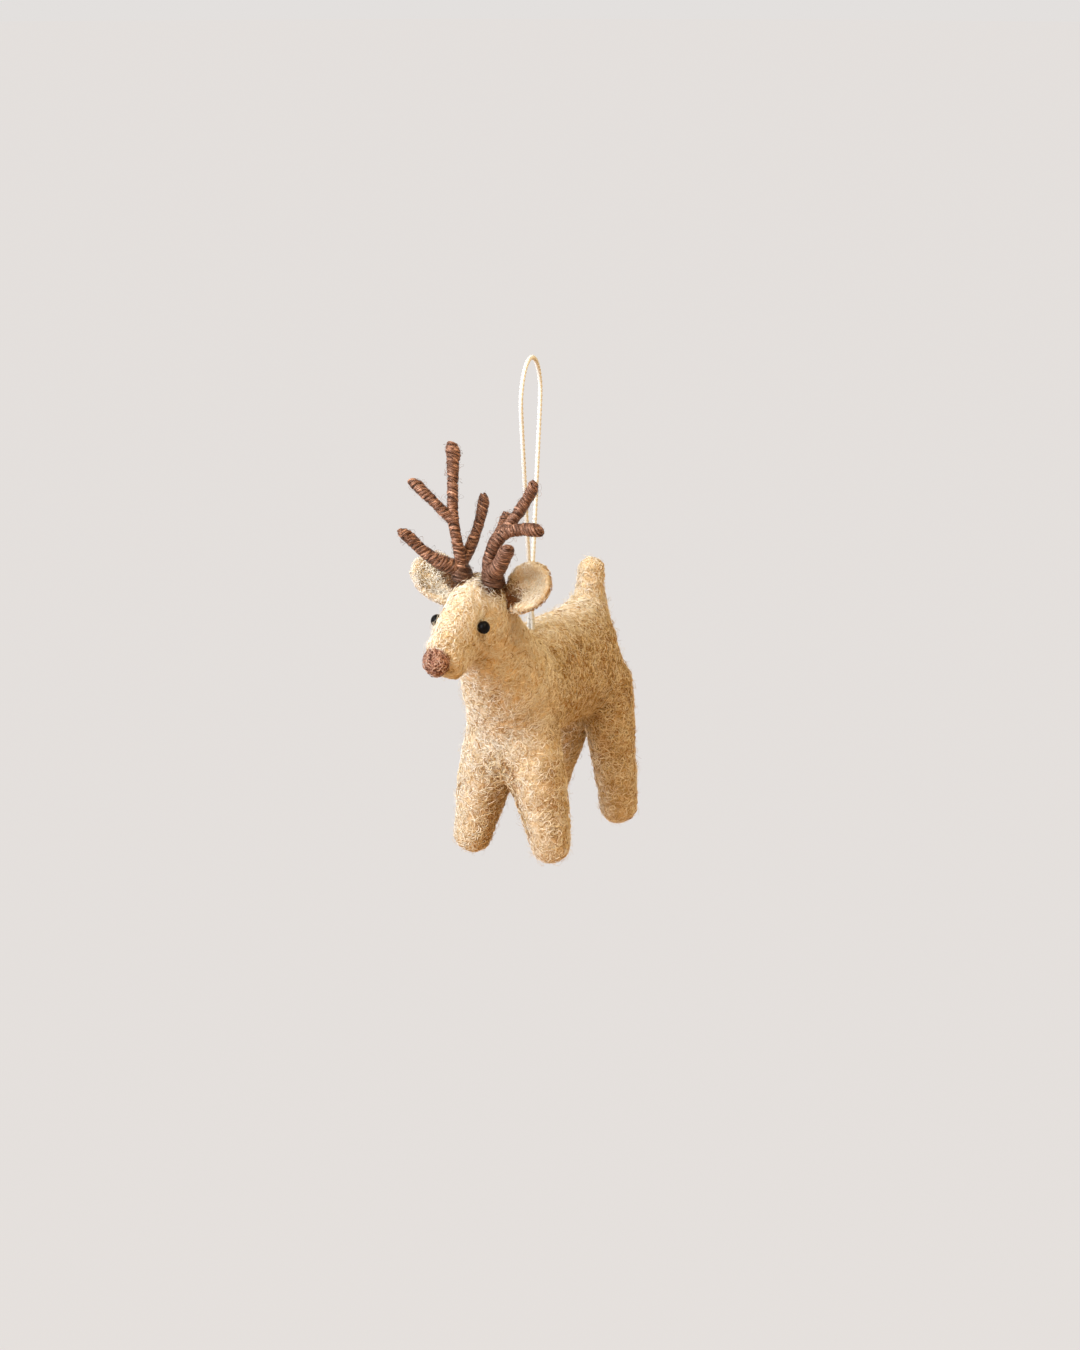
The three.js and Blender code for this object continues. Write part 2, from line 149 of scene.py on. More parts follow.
# the soft glow of fibre ends at a grazing view
def sheen(weight, roughness, hexCode):
    return {"Sheen Weight": weight, "Sheen Roughness": roughness, "Sheen Tint": linear(hexCode)}


def addSurface(tree, sockets):
    shader = addNode(tree, "BsdfPrincipled", sockets)
    addNode(tree, "OutputMaterial", {"Surface": shader.outputs[0]})


# Camera
cameraFacts = {
    "eye": (350.1, -653.8, 122.2),
    "right": (0.88295, 0.46947, 0.0),
    "forward": (-0.45347, 0.85286, -0.25882),
    "lens": 85.0,
    "sensor": 36.0,  # on the long side of the image, 1080 x 1350
    "clip": (0.01, 20.0),  # metres
}
viewRight, viewForward = Vector(cameraFacts["right"]), Vector(cameraFacts["forward"])
viewUp = viewRight.cross(viewForward)


def makeCamera():
    data = bpy.data.cameras.new("camera")
    data.lens, data.sensor_width = cameraFacts["lens"], cameraFacts["sensor"]
    data.clip_start, data.clip_end = cameraFacts["clip"]
    camera = bpy.data.objects.new("camera", data)
    turn = Matrix((viewRight, viewUp, -viewForward)).transposed().to_4x4()
    camera.matrix_world = Matrix.Translation(Vector(cameraFacts["eye"]) * mm) @ turn
    bpy.context.scene.collection.objects.link(camera)
    bpy.context.scene.camera = camera


makeCamera()
print("camera set")


# Curves and surfaces

def unit(vectors):
    return vectors / np.maximum(np.linalg.norm(vectors, axis=-1, keepdims=True), 1e-9)


def circle(count):
    return np.linspace(0, 2 * np.pi, count, endpoint=False)


# 0 up to the start, 1 from a width past it
def fade(values, start, width):
    return np.clip((values - start) / width, 0, 1)


# distance run along a row of points
def runAlong(points):
    return np.concatenate([[0], np.cumsum(np.linalg.norm(np.diff(points, axis=0), axis=1))])


# a table of vectors read between its rows
def readAt(at, run, table):
    return np.stack([np.interp(at, run, table[:, i]) for i in range(3)], axis=1)


# centripetal Catmull-Rom through the rows of points, read at shares from 0 to 1:
# each span is a cubic whose end slopes come from its neighbours, spaced by the root of their distance
def routeAt(points, shares):
    points, shares = np.asarray(points, float), np.asarray(shares, float)
    if len(points) == 2:
        return points[0] + shares[:, None] * (points[1] - points[0])
    padded = np.vstack([2 * points[0] - points[1], points, 2 * points[-1] - points[-2]])
    place = np.clip(shares, 0, 1) * (len(points) - 1)
    span = np.minimum(place.astype(int), len(points) - 2)
    w = (place - span)[:, None]
    p0, p1, p2, p3 = (padded[span + i] for i in range(4))
    d0, d1, d2 = (np.maximum(np.sqrt(np.linalg.norm(b - a, axis=1)), 1e-4)[:, None]
                  for a, b in ((p0, p1), (p1, p2), (p2, p3)))
    m1 = ((p1 - p0) / d0 - (p2 - p0) / (d0 + d1) + (p2 - p1) / d1) * d1
    m2 = ((p2 - p1) / d1 - (p3 - p1) / (d1 + d2) + (p3 - p2) / d2) * d1
    return p1 + m1 * w + (3 * (p2 - p1) - 2 * m1 - m2) * w ** 2 + (2 * (p1 - p2) + m1 + m2) * w ** 3


# stations at even spacing along a route
def evenRoute(points, spacing):
    fine = routeAt(points, np.linspace(0, 1, 40 * len(points)))
    run = runAlong(fine)
    at = np.linspace(0, run[-1], max(4, int(round(run[-1] / spacing)) + 1))
    return readAt(at, run, fine), at


# tangents and a pair of cross directions that turn as little as they can along the route
def routeFrames(stations):
    startAcross = np.array([0.31, 0.52, 0.79])  # any way that no route starts along
    along = unit(np.gradient(stations, axis=0))
    side = np.empty_like(along)
    side[0] = unit(np.cross(along[0], startAcross))
    for i in range(1, len(along)):
        side[i] = unit(side[i - 1] - along[i] * (side[i - 1] @ along[i]))
    return along, side, np.cross(along, side)


# rings about middles: each an oval that reaches a along its first direction and b along its second
def rings(middles, a, b, first, second, angle):
    return middles[:, None] + (a * np.cos(angle))[..., None] * first[:, None] \
        + (b * np.sin(angle))[..., None] * second[:, None]


# quads of a grid of rows x cols that is closed round its columns, with a fan to a pole at each end;
# the poles are the two points after the grid
def closedFaces(rows, cols, start=0):
    row, col = np.meshgrid(np.arange(rows - 1), np.arange(cols), indexing="ij")
    row, col, after = row.ravel() * cols, col.ravel(), (col.ravel() + 1) % cols
    quads = np.stack([row + col, row + after, row + cols + after, row + cols + col], axis=1)
    col = np.arange(cols)
    after, last, pole = (col + 1) % cols, (rows - 1) * cols, rows * cols
    first = np.stack([np.full(cols, pole), after, col], axis=1)
    end = np.stack([np.full(cols, pole + 1), last + col, last + after], axis=1)
    return quads + start, np.vstack([first, end]) + start


# points, quads, triangles and maps of many closed tubes as one
def joined(tubes):
    return [np.vstack(tables) for tables in zip(*tubes)]


# a mesh object at the origin from points in mm
def putMesh(name, material, points, quads, tris, uv=None, values=None, uvName="threadMap"):
    mesh = bpy.data.meshes.new(name)
    quads, tris = np.asarray(quads, np.int32).reshape(-1, 4), np.asarray(tris, np.int32).reshape(-1, 3)
    corners = np.concatenate([quads.ravel(), tris.ravel()])
    sizes = np.concatenate([np.full(len(quads), 4), np.full(len(tris), 3)])
    starts = np.concatenate([[0], np.cumsum(sizes)[:-1]])
    mesh.vertices.add(len(points))
    mesh.vertices.foreach_set("co", (np.asarray(points, float) * mm).astype(np.float32).ravel())
    mesh.loops.add(len(corners))
    mesh.loops.foreach_set("vertex_index", corners)
    mesh.polygons.add(len(sizes))
    mesh.polygons.foreach_set("loop_start", starts.astype(np.int32))
    mesh.polygons.foreach_set("loop_total", sizes.astype(np.int32))
    mesh.polygons.foreach_set("use_smooth", np.ones(len(sizes), bool))
    mesh.update(calc_edges=True)
    if uv is not None:
        layer = mesh.uv_layers.new(name=uvName)
        layer.data.foreach_set("uv", np.asarray(uv, np.float32)[corners].ravel())
    for key, value in (values or {}).items():
        layer = mesh.attributes.new(key, "FLOAT", "POINT")
        layer.data.foreach_set("value", np.asarray(value, np.float32))
    mesh.materials.append(material)
    piece = bpy.data.objects.new(name, mesh)
    bpy.context.scene.collection.objects.link(piece)
    return piece


def deerPiece(piece, slot, *stands):
    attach(piece, "deer")
    if stands:
        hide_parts(*stands)
    return piece


latticeSize = 32
latticeTable = np.random.default_rng(77).uniform(-1, 1, (latticeSize,) * 3)


# smooth value noise: random heights on a lattice of that size in mm, eased between its corners, -1 to 1
def lumps(points, size):
    place = points / size + 100.0
    cell = np.floor(place).astype(int)
    w = place - cell
    w = w * w * (3 - 2 * w)
    total = 0
    for i, j, k in np.ndindex(2, 2, 2):
        weight = np.abs(1 - i - w[:, 0]) * np.abs(1 - j - w[:, 1]) * np.abs(1 - k - w[:, 2])
        at = (cell + (i, j, k)) % latticeSize
        total = total + weight * latticeTable[at[:, 0], at[:, 1], at[:, 2]]
    return total


# Thread
threadFacts = {
    "diameter": 1.1,
    "turn": 14.5,  # degrees of the loop's plane about the upright
    # one strand in the loop's own plane, from its lower end to the top: across, up
    "half": [[0.75, -56.6], [0.78, -55.5], [1.26, -52.8], [2.1, -48.5], [3.88, -39.5], [5.76, -30],
             [7.63, -20.5], [8.92, -14], [9.5, -10.8], [9.66, -8.6], [9.4, -6.7], [8.4, -4.3],
             [6.86, -2.29], [4.85, -0.75], [2.5, 0.22]],
    "top": 0.55,
    "plies": 3, "plyRadius": 0.54, "plyOut": 0.46,  # of half the diameter
    "crease": 0.08,  # least depth of a ply where it meets the next
    "lay": 3.4,  # mm of thread for one turn of its plies
    "pairGap": 0.58,  # half the distance between the two strands laid together
    "pairTwist": 70.0,  # degrees that the pair twists on its way into the back
    "pairTop": -56.45, "pairEnd": -65.2,  # heights between which it twists
    # stretches of the pair: heights of its ends, bodies above and below, heights where it bends,
    # what it stands for
    "stretches": {
        "thread_upper": (-56.45, -58.7, "hanger", "upper_link", -56.5, -58.6, ["upper_thread_link"]),
        "thread_middle": (-58.7, -62.6, "upper_link", "lower_link", -59.4, -61.9,
                          ["upper_thread_link", "lower_thread_link"]),
        "thread_root": (-62.6, -77.0, "lower_link", "deer", -63.3, -65.7,
                        ["lower_thread_link", "anchor_knot"]),
    },
    "knotSize": 0.55, "knotHeight": -78.2,
    "spacing": 0.22,
    "sides": 18,
}


# profile of plied thread carried along a route: the outline of equal circles round a middle,
# turned as it goes so that the plies wind
def threadTube(stations, run, start=0):
    f = threadFacts
    _, side, other = routeFrames(stations)
    angle, step, half = circle(f["sides"]), 2 * np.pi / f["plies"], f["diameter"] / 2
    plyRadius, plyOut = half * f["plyRadius"], half * f["plyOut"]
    wound = angle[None, :] + 2 * np.pi * run[:, None] / f["lay"]
    near = (wound + step / 2) % step - step / 2
    depth = np.maximum(plyRadius ** 2 - (plyOut * np.sin(near)) ** 2, f["crease"] ** 2)
    reach = plyOut * np.cos(near) + np.sqrt(depth)
    points = rings(stations, reach, reach, side, other, angle)
    quads, tris = closedFaces(len(stations), len(angle), start)
    uv = np.stack([np.repeat(run, len(angle)), (wound / step).ravel()], axis=1)
    uv = np.vstack([uv, [[run[0], 0], [run[-1], 0]]])
    return np.vstack([points.reshape(-1, 3), stations[[0, -1]]]), quads, tris, uv


# cotton thread: matte off-white plies, a little darker where the plies meet, fine fibre streaks
def cottonThread():
    material, tree = newMaterial("plied cotton thread")
    grain = addNoise(tree, addScale(tree, mapPlace(tree, "threadMap"), (0.9, 9.0, 1.0)), 2.2, 3.0)
    addSurface(tree, {
        "Base Color": addRamp(tree, grain, [(0.28, "#c8cbc9"), (0.72, "#e9ece9")]), "Roughness": 0.86,
        "Normal": addBump(tree, grain, 0.3, 0.08 * mm), "Specular IOR Level": 0.25,
        **sheen(0.25, 0.5, "#ffffff")})
    return material


def makeThread():
    f, cotton = threadFacts, cottonThread()
    turn = math.radians(f["turn"])
    plane, rise = np.array([-math.sin(turn), math.cos(turn), 0.0]), np.array([0.0, 0.0, 1.0])
    half = np.array(f["half"])
    rising, falling = (hand * half[:, :1] * plane + half[:, 1:] * rise for hand in (-1, 1))
    stations, run = evenRoute(np.vstack([rising, f["top"] * rise[None], falling[::-1]]), f["spacing"])
    loop = putMesh("thread_loop", cotton, *threadTube(stations, run))
    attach(loop, "hanger")
    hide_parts("hanging_loop")

    # the pair of strands from the loop's lower ends into the back
    for name, (upper, lower, above, below, start, end, stands) in f["stretches"].items():
        z = np.linspace(upper, lower, max(12, int((upper - lower) / f["spacing"])))
        down = f["pairTop"] - z
        share = fade(down, 0, f["pairTop"] - f["pairEnd"])
        twist = np.radians(f["pairTwist"]) * share
        gap = half[0, 0] + (f["pairGap"] - half[0, 0]) * share
        strands = []
        for hand in (-1, 1):
            (x, y), c, s = hand * gap * plane[:2, None], np.cos(twist), np.sin(twist)
            route = np.stack([x * c - y * s, x * s + y * c, z], axis=1)
            strands.append(threadTube(route, down, sum(len(strand[0]) for strand in strands)))
        piece = putMesh(name, cotton, *joined(strands))
        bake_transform(piece)
        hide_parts(*stands)

    # the knotted end inside the back: a tube along a trefoil
    t = np.linspace(0, 2 * np.pi, 90)
    knot = np.stack([np.sin(t) + 2 * np.sin(2 * t), np.cos(t) - 2 * np.cos(2 * t), -np.sin(3 * t)], axis=1)
    knot = knot * f["knotSize"] + (0, 0, f["knotHeight"])
    knot = putMesh("thread_knot", cotton, *threadTube(knot, runAlong(knot)))
    deerPiece(knot, "thread_cotton", "anchor_knot")

    print("thread loop:", round(float(run[-1]), 1), "mm")


makeThread()


# Felt body: rolls that melt into each other

# A roll: middles of its sections, half width and half height of each, domes past the two ends,
# the way its height points, and the straight spans that its distance is measured by. Millimetres.
chest = np.array([0.0, -5.6, -78.941])
rump = np.array([0.0, 22.4, -77.941])
skull = chest + (0, -18.1, 24.3)
soleHeight = chest[2] - 40.7
upWay, lengthWay = (0.0, 0.0, 1.0), (0.0, 1.0, 0.0)
bodyRolls = {
    "torso": {"at": [chest, rump], "half": [(12.2, 13.5), (11.2, 13.8)], "domes": (14.6, 13),
              "tall": upWay, "rows": 130, "cols": 150, "spans": 1},
    "neck": {"at": [chest + (0, -6.5, 4.5), skull + (0, -1, -3.4)], "half": [(10.4, 11.3), (7.5, 8.75)],
             "domes": (6.8, 4.4), "tall": lengthWay, "rows": 84, "cols": 132, "spans": 1},
    "head": {"at": [skull, skull + (0.7, -11, -3.1), skull + (0.3, -18.3, -7.9)],
             "half": [(8.4, 8.7), (5.3, 8.2), (4.6, 6.6)], "domes": (6.5, 3.2),
             "tall": upWay, "rows": 100, "cols": 116, "spans": 7},
    "tail": {"at": [rump + (0, 5.4, 7.5), rump + (0, 8.3, 14.6), rump + (0, 9.3, 21.45)],
             "half": [(6.5, 6.5), (4.1, 4.1), (3.5, 3.5)], "domes": (3.2, 3.15),
             "tall": lengthWay, "rows": 64, "cols": 64, "spans": 7},
}
neighbours = {
    "torso": ["torso", "neck", "tail",
              "front_left_leg", "front_right_leg", "rear_left_leg", "rear_right_leg"],
    "neck": ["neck", "torso", "head", "front_left_leg", "front_right_leg"],
    "head": ["head", "neck", "torso"],
    "tail": ["tail", "torso", "rear_left_leg", "rear_right_leg"],
    "nose": ["nose"],
}
legFacts = {
    "foot": 4.8, "hip": 7.0,  # radii at the two ends
    "shinHeight": 19.0, "hipDrop": 5.6, "hipOut": 4.0,
    "pairs": {
        "front": {"middle": 0.0, "hip": chest[1] - 3.5, "foot": chest[1] - 4.2, "stance": 10.6, "shin": 6.7,
                  "near": ["torso", "neck"]},
        "rear": {"middle": 1.5, "hip": rump[1] + 6.4, "foot": rump[1] + 4.5, "stance": 10.4, "shin": 6.0,
                 "near": ["torso", "tail"]},
    },
}


def addLeg(end, hand, side):
    f, pair = legFacts, legFacts["pairs"][end]
    foot = np.array([side * pair["stance"], pair["foot"], soleHeight + f["foot"]])
    hip = np.array([pair["middle"] + side * f["hipOut"], pair["hip"], chest[2] - f["hipDrop"]])
    shin = foot + (hip - foot) * (f["shinHeight"] - f["foot"]) / (hip[2] - foot[2])
    name, twin = f"{end}_{hand}_leg", f"{end}_{'right' if hand == 'left' else 'left'}_leg"
    bodyRolls[name] = {
        "at": [foot, shin, hip], "half": [(radius, radius) for radius in (f["foot"], pair["shin"], f["hip"])],
        "domes": (f["foot"], f["hip"]), "tall": lengthWay, "rows": 92, "cols": 84, "spans": 4}
    neighbours[name] = [name, twin, *pair["near"]]


for end in legFacts["pairs"]:
    addLeg(end, "left", 1)
    addLeg(end, "right", -1)


# sections of a roll at shares of its route: middle, along, wide, tall, half sizes
def sectionsAt(roll, shares, step=1e-3):
    at, tall = roll["at"], np.array(roll["tall"])
    along = unit(routeAt(at, np.minimum(shares + step, 1)) - routeAt(at, np.maximum(shares - step, 0)))
    tall = unit(tall - along * (along @ tall)[:, None])
    half = routeAt(np.array([(a, b, 0) for a, b in roll["half"]]), shares)[:, :2]
    return routeAt(at, shares), along, np.cross(tall, along), tall, half


# skin of a roll: an oval carried along the route, shrunk to a pole over each dome
def rollSkin(roll):
    domeRows = 1.3  # rows on a millimetre of dome, against a millimetre of route
    (first, last), cols = roll["domes"], roll["cols"]
    reach = np.array([first * domeRows, runAlong(np.array(roll["at"]))[-1], last * domeRows])
    counts = np.maximum(4, (roll["rows"] * reach / reach.sum()).astype(int))
    start = np.linspace(0, np.pi / 2, counts[0] + 1)[1:]
    body = np.linspace(0, 1, counts[1] + 1)[1:-1]
    end = np.linspace(np.pi / 2, 0, counts[2] + 1)[:-1]
    shares = np.concatenate([0 * start, body, 0 * end + 1])
    shift = np.concatenate([-first * np.cos(start), 0 * body, last * np.cos(end)])
    scale = np.concatenate([np.sin(start), 0 * body + 1, np.sin(end)])
    middle, along, wide, tall, half = sectionsAt(roll, shares)
    half = half * scale[:, None]
    points = rings(middle + along * shift[:, None], half[:, :1], half[:, 1:], wide, tall, circle(cols))
    poles = np.stack([middle[0] - along[0] * first, middle[-1] + along[-1] * last])
    return np.vstack([points.reshape(-1, 3), poles]), *closedFaces(len(shares), cols)


# distance to a roll's skin and the way out of it: the nearest of its short straight spans,
# as an oval whose third axis is the dome past an end
def rollDepth(points, roll):
    count = roll["spans"]
    middle, _, wide, tall, half = sectionsAt(roll, np.linspace(0, 1, count + 1))
    best, way = np.full(len(points), 1e9), np.zeros_like(points)
    for i in range(count):
        axis = middle[i + 1] - middle[i]
        length = np.linalg.norm(axis)
        axis, across, up = axis / length, unit(wide[i] + wide[i + 1]), unit(tall[i] + tall[i + 1])
        t = np.clip((points - middle[i]) @ axis / length, 0, 1)[:, None]
        w, h = (half[i] + (half[i + 1] - half[i]) * t).T
        r = points - middle[i] - axis * (t * length)
        x, y, z = r @ across, r @ up, r @ axis
        before, past = (t[:, 0] <= 0) & (i == 0), (t[:, 0] >= 1) & (i == count - 1)
        dome = np.where(before, roll["domes"][0], np.where(past, roll["domes"][1], (w + h) / 2))
        m = np.sqrt((x / w) ** 2 + (y / h) ** 2 + (z / dome) ** 2) + 1e-9
        slope = (x / w ** 2)[:, None] * across + (y / h ** 2)[:, None] * up + (z / dome ** 2)[:, None] * axis
        size = np.linalg.norm(slope, axis=1) + 1e-9
        depth = (m - 1) * m / size
        nearer = depth < best
        best = np.where(nearer, depth, best)
        way = np.where(nearer[:, None], slope / size[:, None], way)
    return best, way


# places on the head that other pieces share: a share of its route and an angle from the width to the height
def headSpot(share, degrees):
    middle, _, wide, tall, half = (x[0] for x in sectionsAt(bodyRolls["head"], np.array([share])))
    c, s = math.cos(math.radians(degrees)), math.sin(math.radians(degrees))
    return middle + wide * half[0] * c + tall * half[1] * s, unit(wide * c / half[0] + tall * s / half[1])


antlerSeats = {"left": headSpot(0.03, 61)[0], "right": headSpot(0.03, 180 - 61)[0]}
eyeSpots = {"left": headSpot(0.48, 10), "right": headSpot(0.58, 180 - 26)}

feltFacts = {
    "melt": 1.0,  # mm over which two felted rolls melt together
    "lumps": [(0.28, 8.5, 0), (0.12, 3.1, 31), (0.07, 1.2, 57)],  # rise, size and shift, dents to pits
    "level": -0.5,  # room for the coat of fibres
    # wool added by hand: middle, reach and rise of each pad, on the back and between the front legs
    "pads": [((0, 5, -66), (9, 9, 5), 1.0), ((0, -15, -96), (3.2, 6, 7), 1.8)],
    "eyeDent": (2.1, -0.5),  # reach and rise round each eye
    "dip": (0.8, 6.0),  # how steeply and how far a skin dips under the roll in front of it
    "mostStep": 2.5,
    "bareBehind": 0.5,  # a skin this far behind another roll carries no fibres
}


# the melted body: a soft minimum of the rolls' distances, and how far the first roll is behind the others
def feltDepth(points, names):
    found = [rollDepth(points, bodyRolls[name]) for name in names]
    depths = np.stack([f[0] for f in found], axis=1)
    least = depths.min(axis=1, keepdims=True)
    weights = np.exp(-(depths - least) / feltFacts["melt"])
    total = weights.sum(axis=1, keepdims=True)
    depth = (least - feltFacts["melt"] * np.log(total))[:, 0]
    way = unit(np.einsum("np,pnk->nk", weights / total, np.stack([f[1] for f in found])))
    behind = depths[:, 0] - depths[:, 1:].min(axis=1) if len(names) > 1 else depths[:, 0] * 0 - 1
    return depth, way, behind


# uneven hand felting: noises, and a bell-shaped rise or dent for each pad and eye
def feltLumps(points):
    f = feltFacts
    level = sum(rise * lumps(points + shift, size) for rise, size, shift in f["lumps"]) + f["level"]
    for spot, reach, rise in f["pads"] + [(spot, *f["eyeDent"]) for spot, _ in eyeSpots.values()]:
        level = level + rise * np.exp(-(((points - spot) / reach) ** 2).sum(axis=1))
    return level


# moves points onto the melted body at a height above it; where another roll is in front, they dip under it
def settle(points, names, height=0.0, rounds=5, dip=True):
    steepness, most = feltFacts["dip"]
    for _ in range(rounds):
        depth, way, behind = feltDepth(points, names)
        level = feltLumps(points) + height
        if dip:
            level = level - steepness * np.clip(behind, 0, most)
        step = np.clip(depth - level, -feltFacts["mostStep"], feltFacts["mostStep"])
        points = points - step[:, None] * way
    return points, way, behind


print("rolls ready")


# Felt and fibres

# needle-felted wool: cream curls over tan, no gloss, dark little gaps between the fibres; the under-felt is
# pale, and dark where the tan core shows, which is partly painted shade;
# brown comes in where the antlers' wool is needled through, and as painted shade at their feet
def needleFelt():
    material, tree = newMaterial("needle-felted cream wool")
    place = objectPlace(tree)
    cloud = addNoise(tree, place, 1 / (2.4 * mm), 3.0)
    # curls: thin bright lines where a smooth noise crosses its middle;
    # a real fibre is 0.03 mm thick, drawn at 0.15
    lines = 0.0
    for size, shift in ((0.8, 0.0), (0.65, 0.11), (1.0, 0.23)):
        moved = addNode(tree, "VectorMath", {0: place, 1: (shift, shift / 2, -shift)}, operation="ADD")
        wave = addNoise(tree, moved.outputs[0], 1 / (size * mm), 0.0, 0.6)
        off = addMath(tree, "ABSOLUTE", addMath(tree, "SUBTRACT", wave, 0.5))
        line = addRange(tree, off, (0.015, 0.085), (1.0, 0.0), "SMOOTHSTEP")
        lines = addMath(tree, "MAXIMUM", line, lines)
    pale = addRamp(tree, cloud, [(0.3, "#c9ac80"), (0.5, "#d6be97"), (0.7, "#e0ccaa")])
    # painted shade: this dark under-felt shows between the fibres where the tan share is high
    core = addRamp(tree, cloud, [(0.3, "#5a340f"), (0.5, "#7f5221"), (0.7, "#ab7e43")])
    under = addMix(tree, addAttribute(tree, "tanWoolAndShade"), pale, core)
    wool = addMix(tree, addMath(tree, "MULTIPLY", lines, 0.42), under, linear("#f3e4c8"))
    # brown wool, widened as painted shade at the antlers' feet
    brownAndShadePatch = addMath(tree, "MULTIPLY", addAttribute(tree, "brownWoolAndShade"), cloud)
    brownAndShadePatch = addMath(tree, "MULTIPLY", brownAndShadePatch, 1.9, clamp=True)
    addSurface(tree, {
        "Base Color": addMix(tree, brownAndShadePatch, wool, linear("#4f2d14")), "Roughness": 0.95,
        "Normal": addBump(tree, lines, 0.7, 0.2 * mm), "Specular IOR Level": 0.05,
        **sheen(0.1, 0.5, "#fff1d6")})
    return material


# loose wool fibres: matte, with painted shade darkening both ends, where they meet the felt;
# the map's height is the fibre's own tone, its width runs along the fibre
def woolFibre(name, stops, sheenWeight):
    material, tree = newMaterial(name)
    along, tone = addNode(tree, "SeparateXYZ", {0: mapPlace(tree, "OFBake")}).outputs[:2]
    off = addMath(tree, "SUBTRACT", along, 0.5)
    shade = addRange(tree, addMath(tree, "MULTIPLY", off, off), (0.02, 0.25), (1.0, 0.8))
    addSurface(tree, {
        "Base Color": addMix(tree, 1.0, addRamp(tree, tone, stops), shade, "MULTIPLY"), "Roughness": 0.8,
        "Specular IOR Level": 0.1, **sheen(sheenWeight, 0.4, "#fff1d6")})
    return material


felt = needleFelt()
creamFibre = woolFibre("loose cream wool fibres", [
    (0.0, "#f4f0e6"), (0.3, "#eee4ce"), (0.55, "#dac599"),
    (0.78, "#ac824c"), (0.84, "#7a4a24"), (1.0, "#40230f")], 0.1)

coatFacts = {
    "perMm2": 2.9,  # fibres on each square millimetre
    "length": (1.9, 5.0),
    "curl": (0.45, 1.3),  # radius of a fibre's bends, either way
    "mostBend": 5.2,
    "wave": (0.2, 1.2),  # radians that its heading sways
    "radius": (0.06, 0.112),  # a real fibre is 0.015; drawn as a small lock so that it shows
    "lift": (0.0, 0.55),
    "sink": 0.03,
    "strays": 0.21,  # share of thin fibres that stand well off the felt
    "strayLift": (0.5, 1.9), "strayRadius": 0.33,
    "standing": 0.6,  # share of the strays with one end free
    "headTight": 0.25,  # the head is felted tighter, so its fibres lie closer
    "mostStretch": 1.7,  # fibres that a fold draws out further are left off
    "knots": 8,
    "mostInPiece": 4400,
}
# tones run from 0, cream, over tan to 1, dark brown
toneFacts = {
    # the tan share darkens the fibres and adds single tan fibres, partly as painted shade
    "spread": 0.74, "clouds": (0.07, 4.0), "tanShade": 0.22, "head": -0.05, "most": 0.8,
    "darkShare": (0.06, 0.12), "dark": (0.64, 0.83),  # single tan fibres: share everywhere, more on tan
    "brownShare": 0.9, "brown": (0.84, 1.0),
}


# tangent pair at each normal
def tangents(ways):
    flat = np.where(np.abs(ways[:, 2:]) < 0.8, np.array([[0.0, 0.0, 1.0]]), np.array([[1.0, 0.0, 0.0]]))
    first = unit(np.cross(ways, flat))
    return first, np.cross(ways, first)


# way out of each quad, as long as twice its area
def quadWays(points, quads):
    a, b, c, d = (points[quads[:, i]] for i in range(4))
    return np.cross(c - a, d - b)


# random points on a skin, even by area; free marks the corners that may carry fibres
def scatter(points, quads, free, perMm2):
    quads = quads[free[quads].all(axis=1)]
    area = np.linalg.norm(quadWays(points, quads), axis=1) / 2
    count = int(area.sum() * perMm2 * fibreShare)
    pick = rng.choice(len(quads), size=count, p=area / area.sum())
    u, v = rng.random((2, count, 1))
    a, b, c, d = (points[quads[pick, i]] for i in range(4))
    return (a * (1 - u) + b * u) * (1 - v) + (d * (1 - u) + c * u) * v


# curls in the tangent plane: a heading that bends steadily and waves, summed into a path about its middle
def curls(base, ways, length, bend, wave, knots):
    n = len(base)
    u = np.linspace(0, 1, knots)
    heading = rng.uniform(0, 2 * np.pi, (n, 1)) + bend[:, None] * (u - 0.5) \
        + wave[:, None] * np.sin(2 * np.pi * (u * rng.uniform(0.6, 1.6, (n, 1)) + rng.random((n, 1))))
    step = length[:, None] / (knots - 1)
    a, b = np.cumsum(np.cos(heading) * step, axis=1), np.cumsum(np.sin(heading) * step, axis=1)
    a, b = a - a.mean(axis=1, keepdims=True), b - b.mean(axis=1, keepdims=True)
    first, second = tangents(ways)
    return base[:, None] + a[..., None] * first[:, None] + b[..., None] * second[:, None], u


# curls of felted wool, with their lengths
def woolCurls(base, ways, lengths):
    f, count = coatFacts, len(base)
    length = rng.uniform(*lengths, count)
    bend = np.minimum(length / rng.uniform(*f["curl"], count), f["mostBend"]) * rng.choice([-1, 1], count)
    return *curls(base, ways, length, bend, rng.uniform(*f["wave"], count), f["knots"]), length


